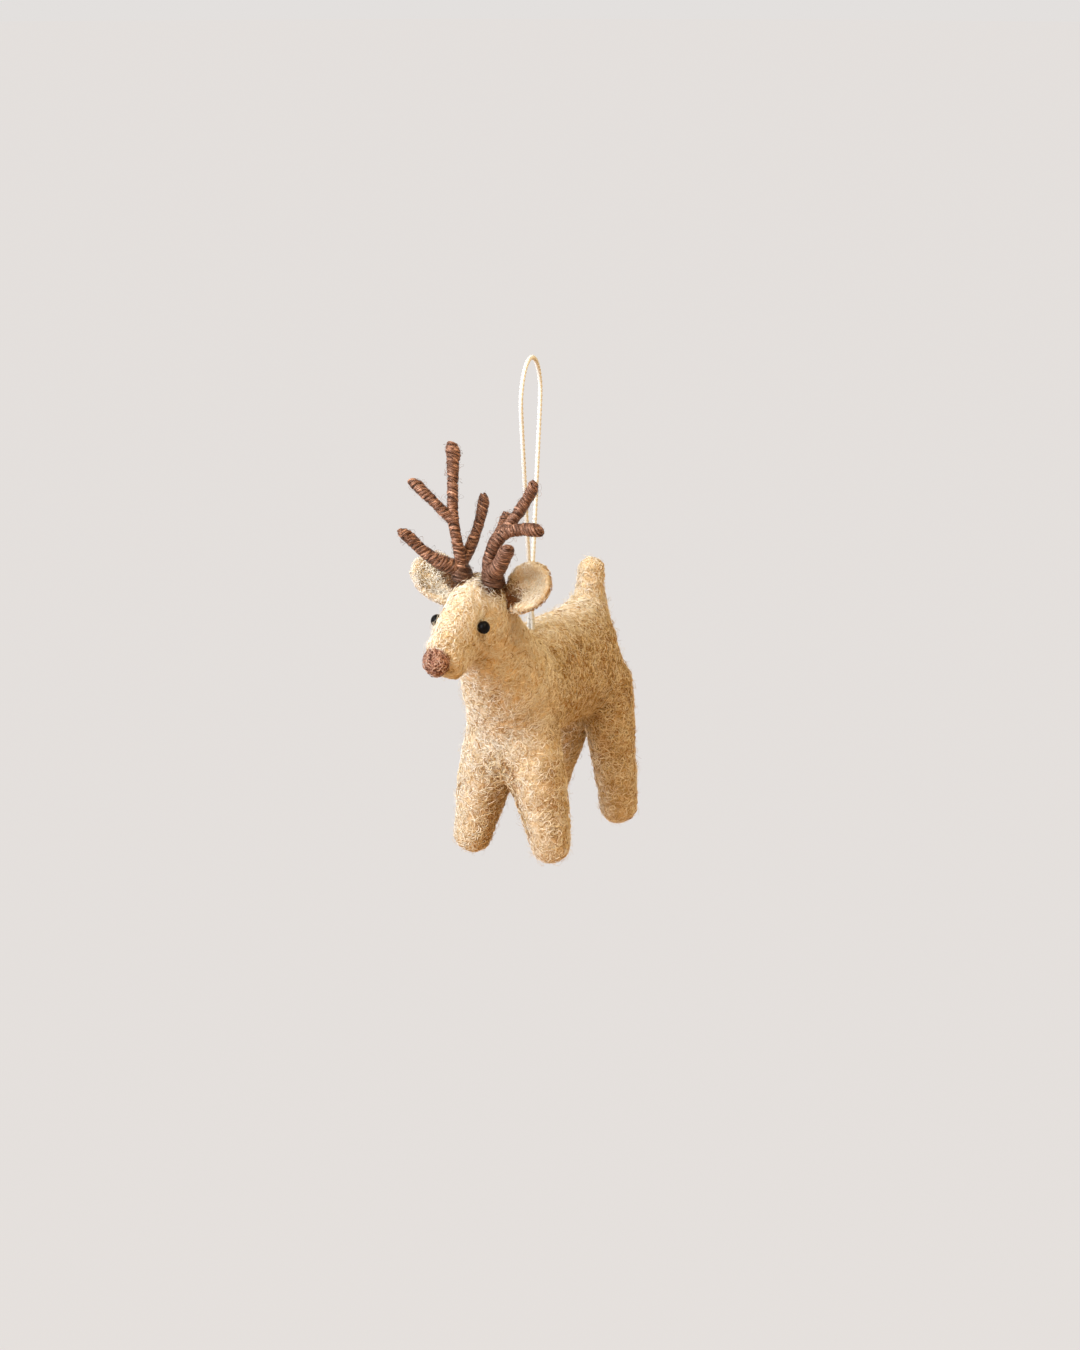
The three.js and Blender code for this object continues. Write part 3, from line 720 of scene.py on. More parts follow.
# three-sided closed tubes along many short paths; the map holds the share along and the tone
def fibreMesh(name, material, paths, ways, radius, tone):
    n, knots = paths.shape[:2]
    u = np.linspace(0, 1, knots)
    along = unit(np.gradient(paths, axis=1))
    side = unit(np.cross(along, ways))
    up = np.cross(side, along)
    thick = radius[:, None] * (0.35 + 0.65 * np.sin(np.pi * u)[None])
    angle = np.radians([90, 210, 330])
    points = paths[:, :, None] + thick[..., None, None] * (
        np.cos(angle)[:, None] * up[:, :, None] + np.sin(angle)[:, None] * side[:, :, None])
    quads = closedFaces(knots, 3)[0]
    tris = np.array([[0, 2, 1], [3 * knots - 3, 3 * knots - 2, 3 * knots - 1]])
    start = (np.arange(n) * knots * 3)[:, None, None]
    # kept off the map's edges, and a little wide so that no face of the map is empty
    uv = np.empty((n, knots, 3, 2))
    uv[..., 0] = (0.02 + 0.96 * u)[None, :, None]
    uv[..., 1] = tone[:, None, None] * 0.95 + np.array([0.015, 0.02, 0.025])
    return putMesh(name, material, points.reshape(-1, 3), (quads[None] + start).reshape(-1, 4),
                   (tris[None] + start).reshape(-1, 3), uv.reshape(-1, 2), uvName="OFBake")


# distance to the nearer antler's foot
def seatDistance(points, scale=1.0):
    return np.min([np.linalg.norm((points - seat) * scale, axis=1) for seat in antlerSeats.values()], axis=0)


# how much brown wool is needled in, widened to paint the shade at the antlers' feet: fades over a few mm from
# the antlers' feet
def brownWoolAndShade(points):
    return np.clip(1.6 - seatDistance(points, (1, 1, 0.8)) / 3.4, 0, 1) ** 1.6


# how much of the tan core shows, partly as painted shade: most on the trunk and the rear legs, least on the
# top of the back, where the light falls, some on the inner sides of the front legs, where shade falls between
# them, and on the outer, shaded side of the left one only
def tanWoolAndShade(points):
    x, y, z = points.T
    up = fade(z, soleHeight, 35)
    trunk = fade(y, -14, 12) * np.maximum(fade(z, -98, 8), np.minimum(fade(y, 12, 8), 0.3 + 0.7 * up))
    trunk = trunk * np.maximum(fade(-z, 64, 7), 0.1)
    frontLegs = fade(-z, 91, 5) * fade(-y, -5, 6)
    # painted shade between the front legs and on the left front leg's outer, shaded side
    inner = fade(-np.abs(x), 6.2 * up - 10.4, 4.5) * frontLegs
    outer = 0.8 * fade(x, 9.5, 3) * up ** 0.3 * frontLegs
    return np.maximum(np.maximum(trunk, 1.25 * inner), outer)


# 1 on the head, which has the palest wool
def headWool(points):
    return fade(-points[:, 1], 13, 5) * fade(points[:, 2], -72, 6)


# a coat of curly fibres pressed to the melted body
def coat(name, skin, slot, material, toneOf, facts):
    names = neighbours[name]
    base = scatter(*skin, facts["perMm2"])
    count = len(base)
    paths, u, length = woolCurls(base, feltDepth(base, names)[1], facts["length"])
    stray = rng.random(count) < facts["strays"]
    lift = np.where(stray, rng.uniform(*facts["strayLift"], count), rng.uniform(*facts["lift"], count))
    lift = lift * (1 - facts["headTight"] * headWool(base))
    standing = stray & (rng.random(count) < facts["standing"])
    rise = np.where(standing[:, None], u[None] ** 1.5, np.sin(np.pi * u)[None] ** 0.7)
    height = lift[:, None] * rise - facts["sink"]
    flat, ways, _ = settle(paths.reshape(-1, 3), names, height.ravel(), rounds=3, dip=False)
    paths, ways = flat.reshape(paths.shape), ways.reshape(paths.shape)
    tone = toneOf(base)
    radius = rng.uniform(*facts["radius"], count) * np.where(stray, facts["strayRadius"], 1.0)
    steps = np.linalg.norm(np.diff(paths, axis=1), axis=2)
    keep = steps.max(axis=1) < facts["mostStretch"] * length / (len(u) - 1)
    fibres = [values[keep] for values in (paths, ways, radius, tone)]
    pieces = math.ceil(keep.sum() / facts["mostInPiece"])
    for i in range(pieces):
        label = f"{name}_fibres_{i + 1}" if pieces > 1 else f"{name}_fibres"
        deerPiece(fibreMesh(label, material, *(values[i::pieces] for values in fibres)), slot)
    return int(keep.sum())


# tones: mostly cream with tan, more tan on the trunk and the tail, partly as painted shade; brown near the
# antlers, partly as painted shade at their feet
def creamTone(points):
    f, count, tanShade = toneFacts, len(points), tanWoolAndShade(points)
    rise, size = f["clouds"]
    tone = rng.beta(1.2, 2.5, count) * f["spread"] + rise * lumps(points, size) + f["tanShade"] * tanShade \
        + f["head"] * headWool(points)
    dark = rng.random(count) < f["darkShare"][0] + f["darkShare"][1] * tanShade
    tone = np.where(dark, rng.uniform(*f["dark"], count), np.clip(tone, 0, f["most"]))
    brown = brownWoolAndShade(points) * f["brownShare"] > rng.random(count)
    return np.where(brown, rng.uniform(*f["brown"], count), tone)


def makeBody():
    total = 0
    for name, roll in bodyRolls.items():
        points, quads, tris = rollSkin(roll)
        points, _, behind = settle(points, neighbours[name])
        piece = putMesh(f"{name}_felt", felt, points, quads, tris,
                        values={"brownWoolAndShade": brownWoolAndShade(points), "tanWoolAndShade": tanWoolAndShade(points)})
        deerPiece(piece, "felt_cream", name)
        skin = points, quads, behind < feltFacts["bareBehind"]
        total += coat(name, skin, "felt_cream", creamFibre, creamTone, coatFacts)
    print("felt body:", len(bodyRolls), "rolls,", total, "fibres")


makeBody()


# Nose: a small ball of rose-brown felt
noseFacts = {
    "half": (3.4, 3.7), "depth": 2.9, "proud": 1.3, "rise": 2.4,
    "core": 0.05,  # half the length of its straight middle
    "bareBehind": -42.5,  # its wool meets the muzzle's here
    "coat": {**coatFacts, "perMm2": 3.6, "length": (1.2, 3.2), "radius": (0.05, 0.09), "strays": 0.05,
             "lift": (0.0, 0.73)},
}
roseFibre = woolFibre("loose rose wool fibres", [
    (0.0, "#ecd5c4"), (0.25, "#d2ad96"), (0.5, "#ac7f6c"), (0.72, "#6d4336"), (1.0, "#2e1a14")], 0.1)


# felted rose wool: pink-brown fibres over dark brown, no gloss
def roseFelt():
    material, tree = newMaterial("needle-felted rose wool")
    fine = addNoise(tree, objectPlace(tree), 1 / (0.6 * mm), 2.0, 1.0)
    addSurface(tree, {
        "Base Color": addRamp(tree, fine, [(0.36, "#351b12"), (0.5, "#825747"), (0.64, "#bf9681")]),
        "Roughness": 0.95, "Normal": addBump(tree, fine, 0.9, 0.35 * mm), "Specular IOR Level": 0.12,
        **sheen(0.15, 0.45, "#f5dccf")})
    return material


def roseTone(points):
    return rng.beta(1.5, 1.7, len(points))


def makeNose():
    f, head = noseFacts, bodyRolls["head"]
    muzzle, way = (x[0] for x in sectionsAt(head, np.array([1.0]))[:2])
    middle = muzzle + way * (head["domes"][1] + f["proud"]) + (0, 0, f["rise"])
    bodyRolls["nose"] = {
        "at": [middle + (0, f["core"], 0), middle - (0, f["core"], 0)], "half": [f["half"]] * 2,
        "domes": (f["depth"], f["depth"]), "tall": upWay, "rows": 44, "cols": 56, "spans": 1}
    points, quads, tris = rollSkin(bodyRolls["nose"])
    points = settle(points, neighbours["nose"], dip=False)[0]
    piece = deerPiece(putMesh("nose_felt", roseFelt(), points, quads, tris), "wool_rose", "nose")
    skin = points, quads, points[:, 1] < f["bareBehind"]
    print("nose:", coat("nose", skin, "wool_rose", roseFibre, roseTone, f["coat"]), "fibres")


makeNose()


# Eyes: polished black beads on pins
eyeFacts = {
    "radius": 1.5, "proud": 0.4,
    "lean": (0.06, math.pi - 0.32), "rows": 30, "cols": 40,
    "squareness": 0.94, "face": 0.93, "facePole": 0.931,  # of the radius
    "pin": [(0.42, -1.6), (0.4, -2.6), (0.4, -3.6)], "pinEnd": -3.8,  # radius, depth
}


# black glass-like resin: deep black, hard highlights, faint rub marks
def blackBead():
    material, tree = newMaterial("polished black resin")
    rub = addNoise(tree, objectPlace(tree), 1 / (0.7 * mm), 3.0)
    addSurface(tree, {
        "Base Color": addRamp(tree, rub, [(0.3, "#080707"), (0.7, "#141212")]),
        "Roughness": addRange(tree, rub, (0.0, 1.0), (0.2, 0.4)), "Specular IOR Level": 0.06,
        "Normal": addBump(tree, rub, 0.6, 0.25 * mm)})
    return material


# bead: a profile turned about the way out of the head, a ball with a flattened face and a pin behind it
def makeEyes():
    f, material, angle = eyeFacts, blackBead(), circle(eyeFacts["cols"])
    lean, pin = np.linspace(*f["lean"], f["rows"]), np.array(f["pin"])
    out = np.concatenate([f["radius"] * np.sin(lean) ** f["squareness"], pin[:, 0]])[:, None]
    flattened = np.cos(lean) * np.where(np.cos(lean) > 0, f["face"], 1.0)
    depth = np.concatenate([f["radius"] * flattened, pin[:, 1]])[:, None]
    ends = np.array([[f["radius"] * f["facePole"]], [f["pinEnd"]]])
    for hand, (seat, way) in eyeSpots.items():
        middle = seat + way * f["proud"]
        first, second = tangents(way[None])
        points = rings(middle + depth * way, out, out, second, first, angle).reshape(-1, 3)
        piece = putMesh(f"{hand}_eye", material, np.vstack([points, middle + ends * way]),
                        *closedFaces(len(out), len(angle)))
        deerPiece(piece, "bead_black", f"{hand}_eye_bead")
    print("eyes set")


makeEyes()


# Ears: cupped felt leaves
earFacts = {
    "root": (0.03, 16),  # share of the head's route, degrees from its width
    "length": 13.8, "sunk": 1.6, "lean": 44, "back": 8, "turn": {"left": 15, "right": 50},
    "shares": [0.0, 0.1, 0.3, 0.55, 0.8, 1.0],
    "halfWidth": [2.2, 2.8, 4.4, 5.3, 4.55, 3.4],
    "halfThick": [1.3, 1.6, 1.85, 2.0, 1.75, 1.3],
    "domes": (1.0, 2.9), "domeRows": 10,
    "flatness": 0.75,  # below 1, the section is squarer than an oval
    "cupAt": 0.55, "cupHalf": (4.5, 5.6), "cupLevel": 2.0, "cupDeep": 1.9, "cupSoft": 0.4,
    "curl": (0.9, 0.4),  # how far the lower and the upper rim come forward
    "rock": (0.25, 0.4),  # how far the tip comes forward, and the share where that starts
    "poleForward": 0.15,
    "lumps": 0.3, "lumpsIn": 3.0,  # share of the body's lumps, and mm from the root until they are full
    # brown wool on the inside, partly painted shade from the antler: how far along, and from the upper rim
    # down to which share of the half width
    "brown": {"left": (5.0, 0.25), "right": (7.5, -0.2)},
    "brownTone": (0.82, 1.0),
    # painted shade: tan on the left ear's back and round its rim, where it is in shade; none on the right ear
    "tanShade": {"left": 0.5, "right": 0.0},  # of tan wool on the back and round the rim
    # painted light: the right ear, turned away from the key lamp, keeps its tones paler
    "tones": {"left": 0.65, "right": 0.32},  # how far the wool's tones spread from cream to tan
    "rows": 76, "cols": 88,
    "perMm2": 4.0, "bareRoot": 0.8,
    "fibreLength": (1.6, 4.0), "fibreLift": (0.03, 0.6), "fibreRadius": (0.045, 0.085),
}


# points pressed to a skin: each goes to the tangent plane of its nearest skin point, at a height above it
def pressTo(points, skin, ways, height):
    near = np.concatenate([np.argmin(((part[:, None] - skin[None]) ** 2).sum(axis=2), axis=1)
                           for part in np.array_split(points, max(1, len(points) // 400))])
    off = ((points - skin[near]) * ways[near]).sum(axis=1) - height
    return points - off[:, None] * ways[near], ways[near]


# vertex normals of a closed mesh from its quads
def skinWays(points, quads):
    flat, total = quadWays(points, quads), np.zeros_like(points)
    for i in range(4):
        np.add.at(total, quads[:, i], flat)
    return unit(total)


# the ear's root on the head and its directions: along, across and to its front
def earFrame(hand, side):
    f = earFacts
    lean, back, turn = (math.radians(degrees) for degrees in (f["lean"], f["back"], f["turn"][hand]))
    along = unit(np.array([side * math.cos(lean), math.sin(back), math.sin(lean)]))
    front = np.array([-side * math.sin(turn), -math.cos(turn), 0.0])
    front = unit(front - along * (front @ along))
    share, degrees = f["root"]
    root = headSpot(share, degrees if side > 0 else 180 - degrees)[0] - along * f["sunk"]
    return root, along, np.cross(along, front), front


# leaf: an oval section carried along the ear and rounded off at both ends; its front is the lesser of
# the oval and an oval hollow, and its rims bend forward with the square of the width
def earSkin(side, root, along, across, front):
    f, (start, end) = earFacts, earFacts["domes"]
    lean = np.linspace(0, np.pi / 2, f["domeRows"] + 1)[1:]
    body = np.linspace(0, 1, f["rows"] - 2 * f["domeRows"] + 2)[1:-1]
    run = np.concatenate([start * (1 - np.cos(lean)), start + (f["length"] - start - end) * body,
                          f["length"] - end * (1 - np.cos(lean[::-1]))])
    scale = np.concatenate([np.sin(lean), body * 0 + 1, np.sin(lean[::-1])])
    share = run / f["length"]
    profile = routeAt(np.stack([f["halfWidth"], f["halfThick"], f["shares"]], axis=1), np.linspace(0, 1, 200))
    wide, thick = (np.interp(share, profile[:, 2], profile[:, i]) * scale for i in (0, 1))
    angle = circle(f["cols"])
    x = wide[:, None] * np.cos(angle)
    y = thick[:, None] * np.sign(np.sin(angle)) * np.abs(np.sin(angle)) ** f["flatness"]
    q = (x / f["cupHalf"][0]) ** 2 + ((share - f["cupAt"])[:, None] * f["length"] / f["cupHalf"][1]) ** 2
    hollow = f["cupLevel"] - f["cupDeep"] * np.sqrt(np.clip(1 - q, 0, 1))
    y = np.where(y > 0, -f["cupSoft"] * np.logaddexp(-y / f["cupSoft"], -hollow / f["cupSoft"]), y)
    low = side * x / max(f["halfWidth"])
    y = y + np.where(low > 0, *f["curl"]) * low ** 2 + f["rock"][0] * (share[:, None] - f["rock"][1])
    points = root + x[..., None] * across + y[..., None] * front + run[:, None, None] * along
    poles = np.stack([root, root + along * f["length"] + front * f["poleForward"]])
    points = np.vstack([points.reshape(-1, 3), poles])
    quads, tris = closedFaces(len(run), f["cols"])
    heart = root + along * f["length"] * 0.43
    if (quadWays(points, quads) * (points[quads[:, 0]] - heart)).sum() < 0:
        quads, tris = quads[:, ::-1], tris[:, ::-1]
    ways = skinWays(points, quads)
    uneven = f["lumps"] * feltLumps(points) * fade((points - root) @ along, 0, f["lumpsIn"])
    return points + uneven[:, None] * ways, quads, tris, ways


def makeEar(hand, side):
    f = earFacts
    root, along, across, front = earFrame(hand, side)
    points, quads, tris, ways = earSkin(side, root, along, across, front)

    # brown wool, partly painted shade from the antler: from the root to its reach, on the inside, between the
    # upper rim and a share of the width
    def brownAt(spots):
        reach, down = f["brown"][hand]
        away = spots - root
        share = side * (away @ across) / max(f["halfWidth"])
        inside = np.clip(1.4 - away @ along / reach, 0, 1) * np.clip(0.9 + 0.8 * (away @ front), 0, 1)
        return inside * np.clip((down - share) / 0.2 + 0.5, 0, 1) * fade(share, -0.85, 0.2)

    # painted shade on the back and round the rim, as set for each ear
    def tanShadeAt(outward):
        return f["tanShade"][hand] * np.clip(0.7 - outward @ front, 0, 1)

    piece = putMesh(f"{hand}_ear_felt", felt, points, quads, tris,
                    values={"brownWoolAndShade": brownAt(points), "tanWoolAndShade": 2 * tanShadeAt(ways)})
    deerPiece(piece, "felt_cream", f"{hand}_ear")

    base = scatter(points, quads, (points - root) @ along > f["bareRoot"], f["perMm2"])
    base, baseWays = pressTo(base, points, ways, 0.0)
    count = len(base)
    paths, u, _ = woolCurls(base, baseWays, f["fibreLength"])
    height = rng.uniform(*f["fibreLift"], (count, 1)) * np.sin(np.pi * u) ** 0.7 - coatFacts["sink"]
    flat, ways = pressTo(paths.reshape(-1, 3), points, ways, height.ravel())
    brown = np.clip(brownAt(base) * 1.5, 0, 0.97) > rng.random(count)
    brownTone = rng.uniform(*f["brownTone"], count)
    tone = rng.beta(1.2, 2.5, count) * f["tones"][hand] + 0.03 + tanShadeAt(baseWays)
    tone = np.where(brown, brownTone, np.clip(tone, 0, toneFacts["most"]))
    fibres = fibreMesh(f"{hand}_ear_fibres", creamFibre, flat.reshape(paths.shape), ways.reshape(paths.shape),
                       rng.uniform(*f["fibreRadius"], count), tone)
    deerPiece(fibres, "felt_cream")
    return count


print("ears:", sum(makeEar(hand, side) for hand, side in (("left", 1), ("right", -1))), "fibres")


# Antlers: brown wool yarn wound on bent wire

# Routes from the seat on the head: out to the side, back, up; radii at their points. Millimetres.
antlerFacts = {
    "left": {
        "beam": ([[0, 0, 0], [0.2, -1.5, 4.9], [1.6, -2.1, 9.7], [3.8, -0.6, 13], [7.3, 0.7, 18.3],
                  [10.4, 0.5, 23.4]], [1.9, 1.85, 1.55, 1.35, 1.3, 1.5]),
        "brow_tine": ([[0.1, -0.6, 2.2], [3.8, -4.7, 4.5], [8.4, -8.7, 10.2]], [2.2, 1.85, 1.75]),
        "rear_tine": ([[1.6, -2.1, 9.7], [1.9, 0.8, 12.6], [1.4, 3.9, 14.9]], [1.3, 1.25, 1.4]),
        "fork_tine": ([[1.6, -2.1, 9.7], [5, -2.4, 12.6], [8.3, -2.8, 13.6], [13.6, -3.4, 14.2]],
                      [1.4, 1.3, 1.4, 1.65]),
    },
    "right": {
        "beam": ([[0, 0, 0], [0.2, -0.1, 3.8], [1, -0.4, 8.3], [2.1, -0.3, 13.6], [3.1, 1.1, 18.4],
                  [4, 2.9, 24], [4.8, 4.5, 29.6]], [1.6, 1.45, 1.3, 1.2, 1.2, 1.35, 1.9]),
        "brow_tine": ([[0.15, -0.1, 2.2], [3.8, -3.3, 4.1], [7.3, -4.6, 6.4], [11.6, -6.8, 11]],
                      [2.0, 1.7, 1.35, 1.5]),
        "rear_tine": ([[0.15, -0.1, 3.2], [-0.5, 3.6, 7.5], [-0.8, 6.1, 11.1], [-1.2, 8.6, 17.4]],
                      [1.4, 1.3, 1.2, 1.4]),
        "fork_tine": ([[2.1, -0.3, 13.6], [6.8, -1.6, 17.9], [11.6, -1.6, 21.7]], [1.25, 1.2, 1.45]),
    },
    # wrap at the foot: heights along the beam from the seat, radii there, domes of its tip and foot
    "wrap": {"heights": (-1.2, 1.4, 4.0), "radii": (2.8, 2.55, 1.9), "domes": (1.2, 1.4)},
    "spacing": 0.2, "coreSides": 20,
    "tipDome": 2.0, "pastTip": 1.0,
    "uneven": (0.09, 2.3),  # share that the thickness varies, over so many mm
    "yarn": 0.22,  # how far the wound wool stands off the core
    # windings of flat roving: mm along the antler for one turn, width, flatness, hand,
    # how far its middle is off the core
    "yarns": [(0.88, 1.02, 0.5, 1, 0.05), (2.3, 0.65, 0.5, -1, 0.13)],
    "turnSteps": 18, "sides": 10,
    "wander": 0.45,  # of a turn's mm that the winding is uneven by
    "slant": (0.75, 0.4),  # mm that a turn leans along the antler, and how much that varies
    "slub": (0.35, 0.9),  # share that the yarn's thickness varies, over so many mm
    "tipClose": 1.4,  # mm before the tip over which the winding thins out
    "hairsPerMm": 9.0,
    "hairLength": (1.2, 3.6), "hairLift": (0.02, 1.4), "hairRadius": (0.015, 0.035), "hairKnots": 7,
}


# wound wool roving: silky brown, lighter and darker along its length, fine fibres running with it; near-black
# painted shade in the grooves between its windings and at the antlers' feet
def woundWool():
    material, tree = newMaterial("brown wool yarn")
    place = mapPlace(tree, "threadMap")
    # tone changes over about 3 mm of yarn; fibres are drawn at a ninth of its girth
    tone = addNoise(tree, addScale(tree, place, (0.33, 0.8, 1.0)), 1.0, 2.0)
    grain = addNoise(tree, addScale(tree, place, (1.1, 9.0, 1.0)), 1.0, 2.0)
    blend = addNode(tree, "Mix", {"Factor": 0.45, 2: tone, 3: grain}, data_type="FLOAT").outputs[0]
    strands = addRamp(tree, blend, [(0.41, "#25120b"), (0.52, "#65412f"), (0.615, "#d3a58b")])
    # the groove attribute mixes in near-black as painted shade
    addSurface(tree, {
        "Base Color": addMix(tree, addAttribute(tree, "grooveShade"), strands, linear("#170b06")),
        "Roughness": 0.4, "Normal": addBump(tree, grain, 0.5, 0.1 * mm), "Specular IOR Level": 0.6,
        "Specular Tint": linear("#ffcfb2"), **sheen(0.05, 0.4, "#f0d9c8")})
    return material


# soft steel wire: dull grey, drawn marks along it
def softWire():
    material, tree = newMaterial("soft steel wire")
    grain = addNoise(tree, objectPlace(tree), 1 / (0.4 * mm), 2.0)
    addSurface(tree, {
        "Base Color": addRamp(tree, grain, [(0.3, "#8d8d8f"), (0.7, "#a9a9ab")]),
        "Roughness": addRange(tree, grain, (0.0, 1.0), (0.35, 0.55)), "Metallic": 1.0})
    return material


brownFibre = woolFibre("loose brown wool fibres", [
    (0.0, "#b28e77"), (0.3, "#8c6853"), (0.6, "#654635"), (1.0, "#34211a")], 0.05)


# core under the windings: a round section carried along the route; its radius goes through the given ones,
# less the wool's rise, and falls as a dome at the tip and, where it has one, at the foot
def antlerCore(points, radii, tipDome, footDome):
    f = antlerFacts
    stations, run = evenRoute(points, f["spacing"])
    knots = runAlong(points)
    knots = knots * run[-1] / knots[-1]
    fine = routeAt(np.stack([radii, knots, knots * 0], axis=1), np.linspace(0, 1, 200))
    share, size = f["uneven"]
    radius = np.interp(run, fine[:, 1], fine[:, 0]) * (1 + share * lumps(stations, size)) - f["yarn"]
    tip = fade(run, run[-1] - tipDome, tipDome)
    foot = fade(-run, -footDome, footDome) if footDome else run * 0
    radius = radius * np.sqrt(np.maximum(1 - tip ** 2, 0.004)) * np.sqrt(np.maximum(1 - foot ** 2, 0.02))
    along, side, other = routeFrames(stations)
    angle = circle(f["coreSides"])
    core = rings(stations, radius[:, None], radius[:, None], side, other, angle)
    poles = np.stack([stations[0] - along[0] * 0.05, stations[-1] + along[-1] * 0.05])
    uv = np.stack([np.repeat(run * 3, len(angle)), np.tile(angle, len(run))], axis=1)
    tube = (np.vstack([core.reshape(-1, 3), poles]), *closedFaces(len(stations), len(angle)),
            np.vstack([uv, [[0, 0], [run[-1], 0]]]))
    # painted shade: the core under the windings is near-black so the gaps between turns read dark, except at
    # the tip
    grooveShade = np.concatenate([np.repeat(np.where(tip > 0.4, 0.1, 0.9), len(angle)), [0.9, 0.1]])
    return (run, stations, along, side, other, radius), tube, grooveShade


# one winding: a flat tube along a helix whose radius follows the core's and whose turns lean and wander
def winding(core, yarn, start):
    f = antlerFacts
    run, stations, along, side, other, radius = core
    pitch, width, flat, hand, proud = yarn
    reach, turns = run[-1], run[-1] / pitch
    t = np.linspace(0, 1, int(turns * f["turnSteps"]))
    ends = fade(np.minimum(t, 1 - t) * reach, 0, 0.8)
    line = np.stack([t * reach / 1.6, 0 * t + 5 * hand, 0 * t + stations[0, 1]], axis=1)
    s = np.clip(t * reach + f["wander"] * pitch * lumps(line, 1.0) * ends, 0, reach)
    wind = hand * 2 * np.pi * turns * t
    middle, first, second, ahead = (readAt(s, run, table) for table in (stations, side, other, along))
    out = np.interp(s, run, radius) + proud + 0.04 * np.sin(wind / 2.7)
    up = np.cos(wind)[:, None] * first + np.sin(wind)[:, None] * second
    slant = (f["slant"][0] + f["slant"][1] * lumps(line + 40, 2.0)) * np.sin(wind + 0.8 * np.sin(wind / 23))
    helix = middle + out[:, None] * up + (slant * fade(out, 0, 1.2))[:, None] * ahead
    forward = unit(np.gradient(helix, axis=0))
    up = unit(up - forward * (up * forward).sum(axis=1, keepdims=True))
    # the winding thins out over the tip, and the painted shade on its sides fades out there
    close = fade(reach - s, 0, f["tipClose"])
    thick = (width / 2 * (1 + f["slub"][0] * lumps(helix, f["slub"][1])) * (0.5 + 0.5 * close))[:, None]
    angle, yarnRun = circle(f["sides"]), runAlong(helix)
    tube = rings(helix, thick * flat, thick, up, np.cross(forward, up), angle)
    uv = np.stack([np.repeat(yarnRun, len(angle)), np.tile(angle / 2.0, len(t))], axis=1)
    # painted shade on the yarn's sides and underside, where it lies against the next turn and the core
    gap = np.clip(0.9 - 0.95 * np.cos(angle), 0, 0.9)[None] * close[:, None]
    return (np.vstack([tube.reshape(-1, 3), helix[[0, -1]]]), *closedFaces(len(t), len(angle), start),
            np.vstack([uv, [[0, 0], [yarnRun[-1], 0]]])), np.concatenate([gap.ravel(), [0.5, 0.0]])


# hairs pressed round a wound length: curls moved to the core's own distance from its route,
# a few standing off
def antlerHairs(name, core):
    f = antlerFacts
    run, stations, along, side, other, radius = core
    reach, last = run[-1], len(run) - 1
    count = max(12, int(reach * f["hairsPerMm"] * fibreShare))
    at = rng.uniform(0, reach, count)
    index = np.minimum((at / reach * last).astype(int), last)
    spin = rng.uniform(0, 2 * np.pi, count)
    outward = np.cos(spin)[:, None] * side[index] + np.sin(spin)[:, None] * other[index]
    base = stations[index] + outward * radius[index, None]
    paths, u = curls(base, outward, rng.uniform(*f["hairLength"], count), rng.normal(0, 1.5, count),
                     rng.uniform(0.1, 0.7, count), f["hairKnots"])
    place = at[:, None] + ((paths - stations[index][:, None]) * along[index][:, None]).sum(axis=2)
    near = np.clip(np.round(place / reach * last), 0, last).astype(int)
    off = along[near] * ((paths - stations[near]) * along[near]).sum(axis=2, keepdims=True)
    away = unit(paths - stations[near] - off)
    lift = (f["hairLift"][0] + f["hairLift"][1] * rng.random((count, 1)) ** 5) * np.sin(np.pi * u)
    flat = stations[near] + off + away * (radius[near] + f["yarn"] + lift)[..., None]
    hairs = fibreMesh(f"{name}_hairs", brownFibre, flat, away, rng.uniform(*f["hairRadius"], count),
                      rng.beta(1.4, 1.6, count))
    deerPiece(hairs, "wool_brown")


# one wound length: a core, the windings on it and loose hairs; returns its length
def woundPart(name, points, radii, wool, tipDome, footDome=0.0):
    core, tube, grooveShade = antlerCore(points, radii, tipDome, footDome)
    tubes, grooveShades = [tube], [grooveShade]
    for yarn in antlerFacts["yarns"]:
        tube, grooveShade = winding(core, yarn, sum(len(made[0]) for made in tubes))
        tubes.append(tube)
        grooveShades.append(grooveShade)
    points, quads, tris, uv = joined(tubes)
    # painted shade: near-black towards the antler's foot, where it enters the head
    dark = np.clip(1.55 - seatDistance(points) / 3.0, 0, 0.97)
    piece = putMesh(f"{name}_wool", wool, points, quads, tris, uv,
                    {"grooveShade": np.maximum(np.concatenate(grooveShades), dark)})
    deerPiece(piece, "wool_brown", name)
    antlerHairs(name, core)
    return core[0][-1]


def makeAntlers():
    f, wrap, wool, wire, total = antlerFacts, antlerFacts["wrap"], woundWool(), softWire(), 0.0
    for hand, side in (("left", 1), ("right", -1)):
        seat = antlerSeats[hand]
        for part, (offsets, radii) in f[hand].items():
            points = seat + np.array(offsets) * (side, 1, 1)
            points[-1] += unit(points[-1] - points[-2]) * f["pastTip"]
            total += woundPart(f"{hand}_antler_{part}", points, np.array(radii), wool, f["tipDome"])
            if part == "beam":
                route = seat + np.array(wrap["heights"])[:, None] * unit(points[1] - points[0])
                woundPart(f"{hand}_antler_base_wrap", route, np.array(wrap["radii"]), wool, *wrap["domes"])
        bare = frame["nodes"][f"{hand}_antler_wire"].data.materials
        bare.clear()
        bare.append(wire)
    print("antlers:", round(total), "mm of wound wire")


makeAntlers()


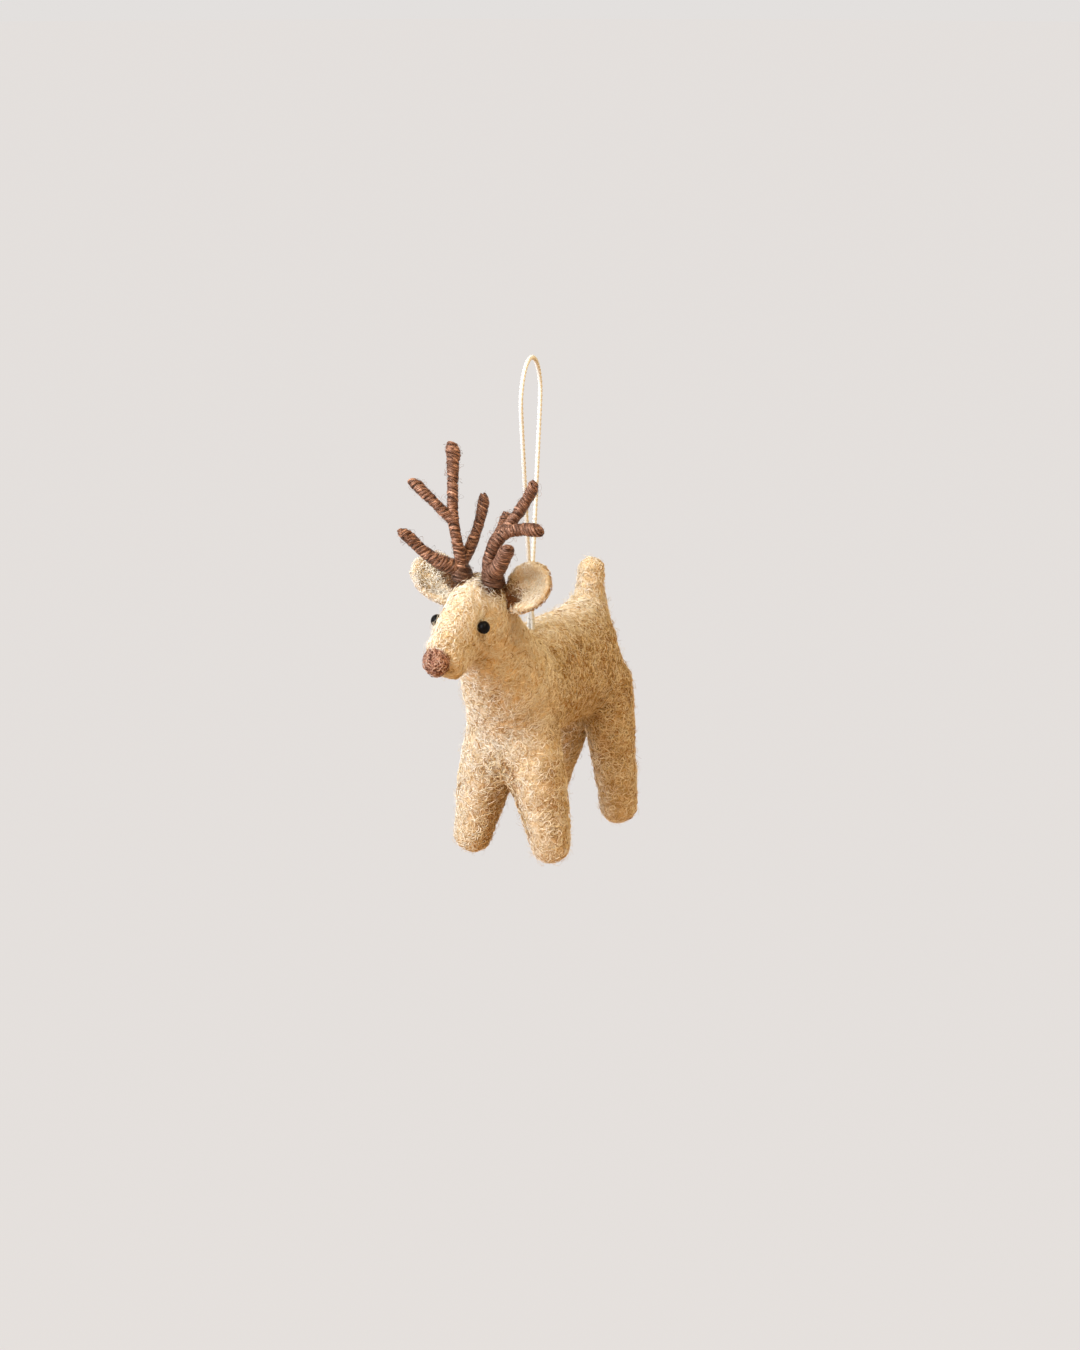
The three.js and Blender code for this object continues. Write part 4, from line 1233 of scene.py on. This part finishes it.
# Stage: a plain pale floor well below the hung piece, and soft studio light
stageFacts = {
    "pale": "#e3e0de",
    "floorHeight": -450.0,
    "floorReach": (40.0, 9000.0), "floorRings": 12, "floorSides": 48,
    "shadowShare": 0.05,  # of the floor's own light that the camera sees
    "glow": 1.03,
    # lamps: way to the image's right, up and towards the viewer; size; power; colour
    "lamps": {"key": ((-0.77, 0.37, 0.6), 360.0, 3.65, "#edf4ff"),
              "fill": ((0.3, 0.75, 0.68), 180.0, 1.1, "#fde2b2"),
              "card": ((0.25, -0.75, 0.6), 200.0, 0.46, "#ffcd9a")},
    "lampDistance": 450.0,
    "lampsFace": (0, -5, -75),
    "worldLight": 0.69,
    "worldColour": "#ffdaaa",
}


# 1 for rays that show the pale room: straight to the camera, mirrored or let through
def seen(tree):
    path = addNode(tree, "LightPath").outputs
    both = addMath(tree, "MAXIMUM", path["Is Camera Ray"], path["Is Glossy Ray"])
    return addMath(tree, "MAXIMUM", both, path["Is Transmission Ray"])


# matte paper: faint mottling in 60 mm clouds; the camera sees mostly its even pale glow
def matteFloor():
    material, tree = newMaterial("matte paper floor")
    cloud = addNoise(tree, objectPlace(tree), 1 / (60 * mm), 2.0)
    colour = addRamp(tree, cloud, [(0.3, "#d4b283"), (0.7, "#d8b687")])
    paper = addNode(tree, "BsdfDiffuse", {"Color": colour})
    glow = addNode(tree, "Emission", {"Color": linear(stageFacts["pale"]), "Strength": stageFacts["glow"]})
    share = addMath(tree, "MULTIPLY", seen(tree), 1 - stageFacts["shadowShare"])
    mixed = addNode(tree, "MixShader", {0: share, 1: paper.outputs[0], 2: glow.outputs[0]})
    addNode(tree, "OutputMaterial", {"Surface": mixed.outputs[0]})
    return material


# floor: a disc of rings about the point below the piece
def makeFloor():
    f, count, cols = stageFacts, stageFacts["floorRings"], stageFacts["floorSides"]
    radius = np.geomspace(*f["floorReach"], count)[:, None]
    middle, (across, ahead, _) = np.array([[0, 0, f["floorHeight"]]]), np.eye(3)[:, None]
    points = rings(middle, radius, radius, across, ahead, circle(cols)).reshape(-1, 3)
    # closed at the middle only, and turned over so that it faces up
    quads, tris = closedFaces(count, cols)
    floor = putMesh("floor", matteFloor(), np.vstack([points, middle]), quads[:, [0, 3, 2, 1]],
                    tris[:cols, [0, 2, 1]])


def makeRoom():
    world = bpy.data.worlds.new("pale room")
    bpy.context.scene.world = world
    world.use_nodes = True
    tree = world.node_tree
    tree.nodes.clear()
    light = {"Color": linear(stageFacts["worldColour"]), "Strength": stageFacts["worldLight"]}
    room = addNode(tree, "Background", light)
    wall = addNode(tree, "Background", {"Color": linear(stageFacts["pale"]), "Strength": 1.0})
    mixed = addNode(tree, "MixShader", {0: seen(tree), 1: room.outputs[0], 2: wall.outputs[0]})
    addNode(tree, "OutputWorld", {"Surface": mixed.outputs[0]})


def makeLamps():
    for name, (way, size, power, colour) in stageFacts["lamps"].items():
        data = bpy.data.lights.new(name, "AREA")
        data.shape = "DISK"
        data.size = size * mm
        data.energy = power
        data.color = linear(colour)[:3]
        lamp = bpy.data.objects.new(name, data)
        to = (viewRight * way[0] + viewUp * way[1] - viewForward * way[2]).normalized()
        lamp.location = (Vector(stageFacts["lampsFace"]) + to * stageFacts["lampDistance"]) * mm
        lamp.rotation_mode = "QUATERNION"
        lamp.rotation_quaternion = (-to).to_track_quat("-Z", "Y")
        bpy.context.scene.collection.objects.link(lamp)


makeFloor()
makeRoom()
makeLamps()
bpy.context.scene.view_settings.view_transform = "Standard"
print("stage set")
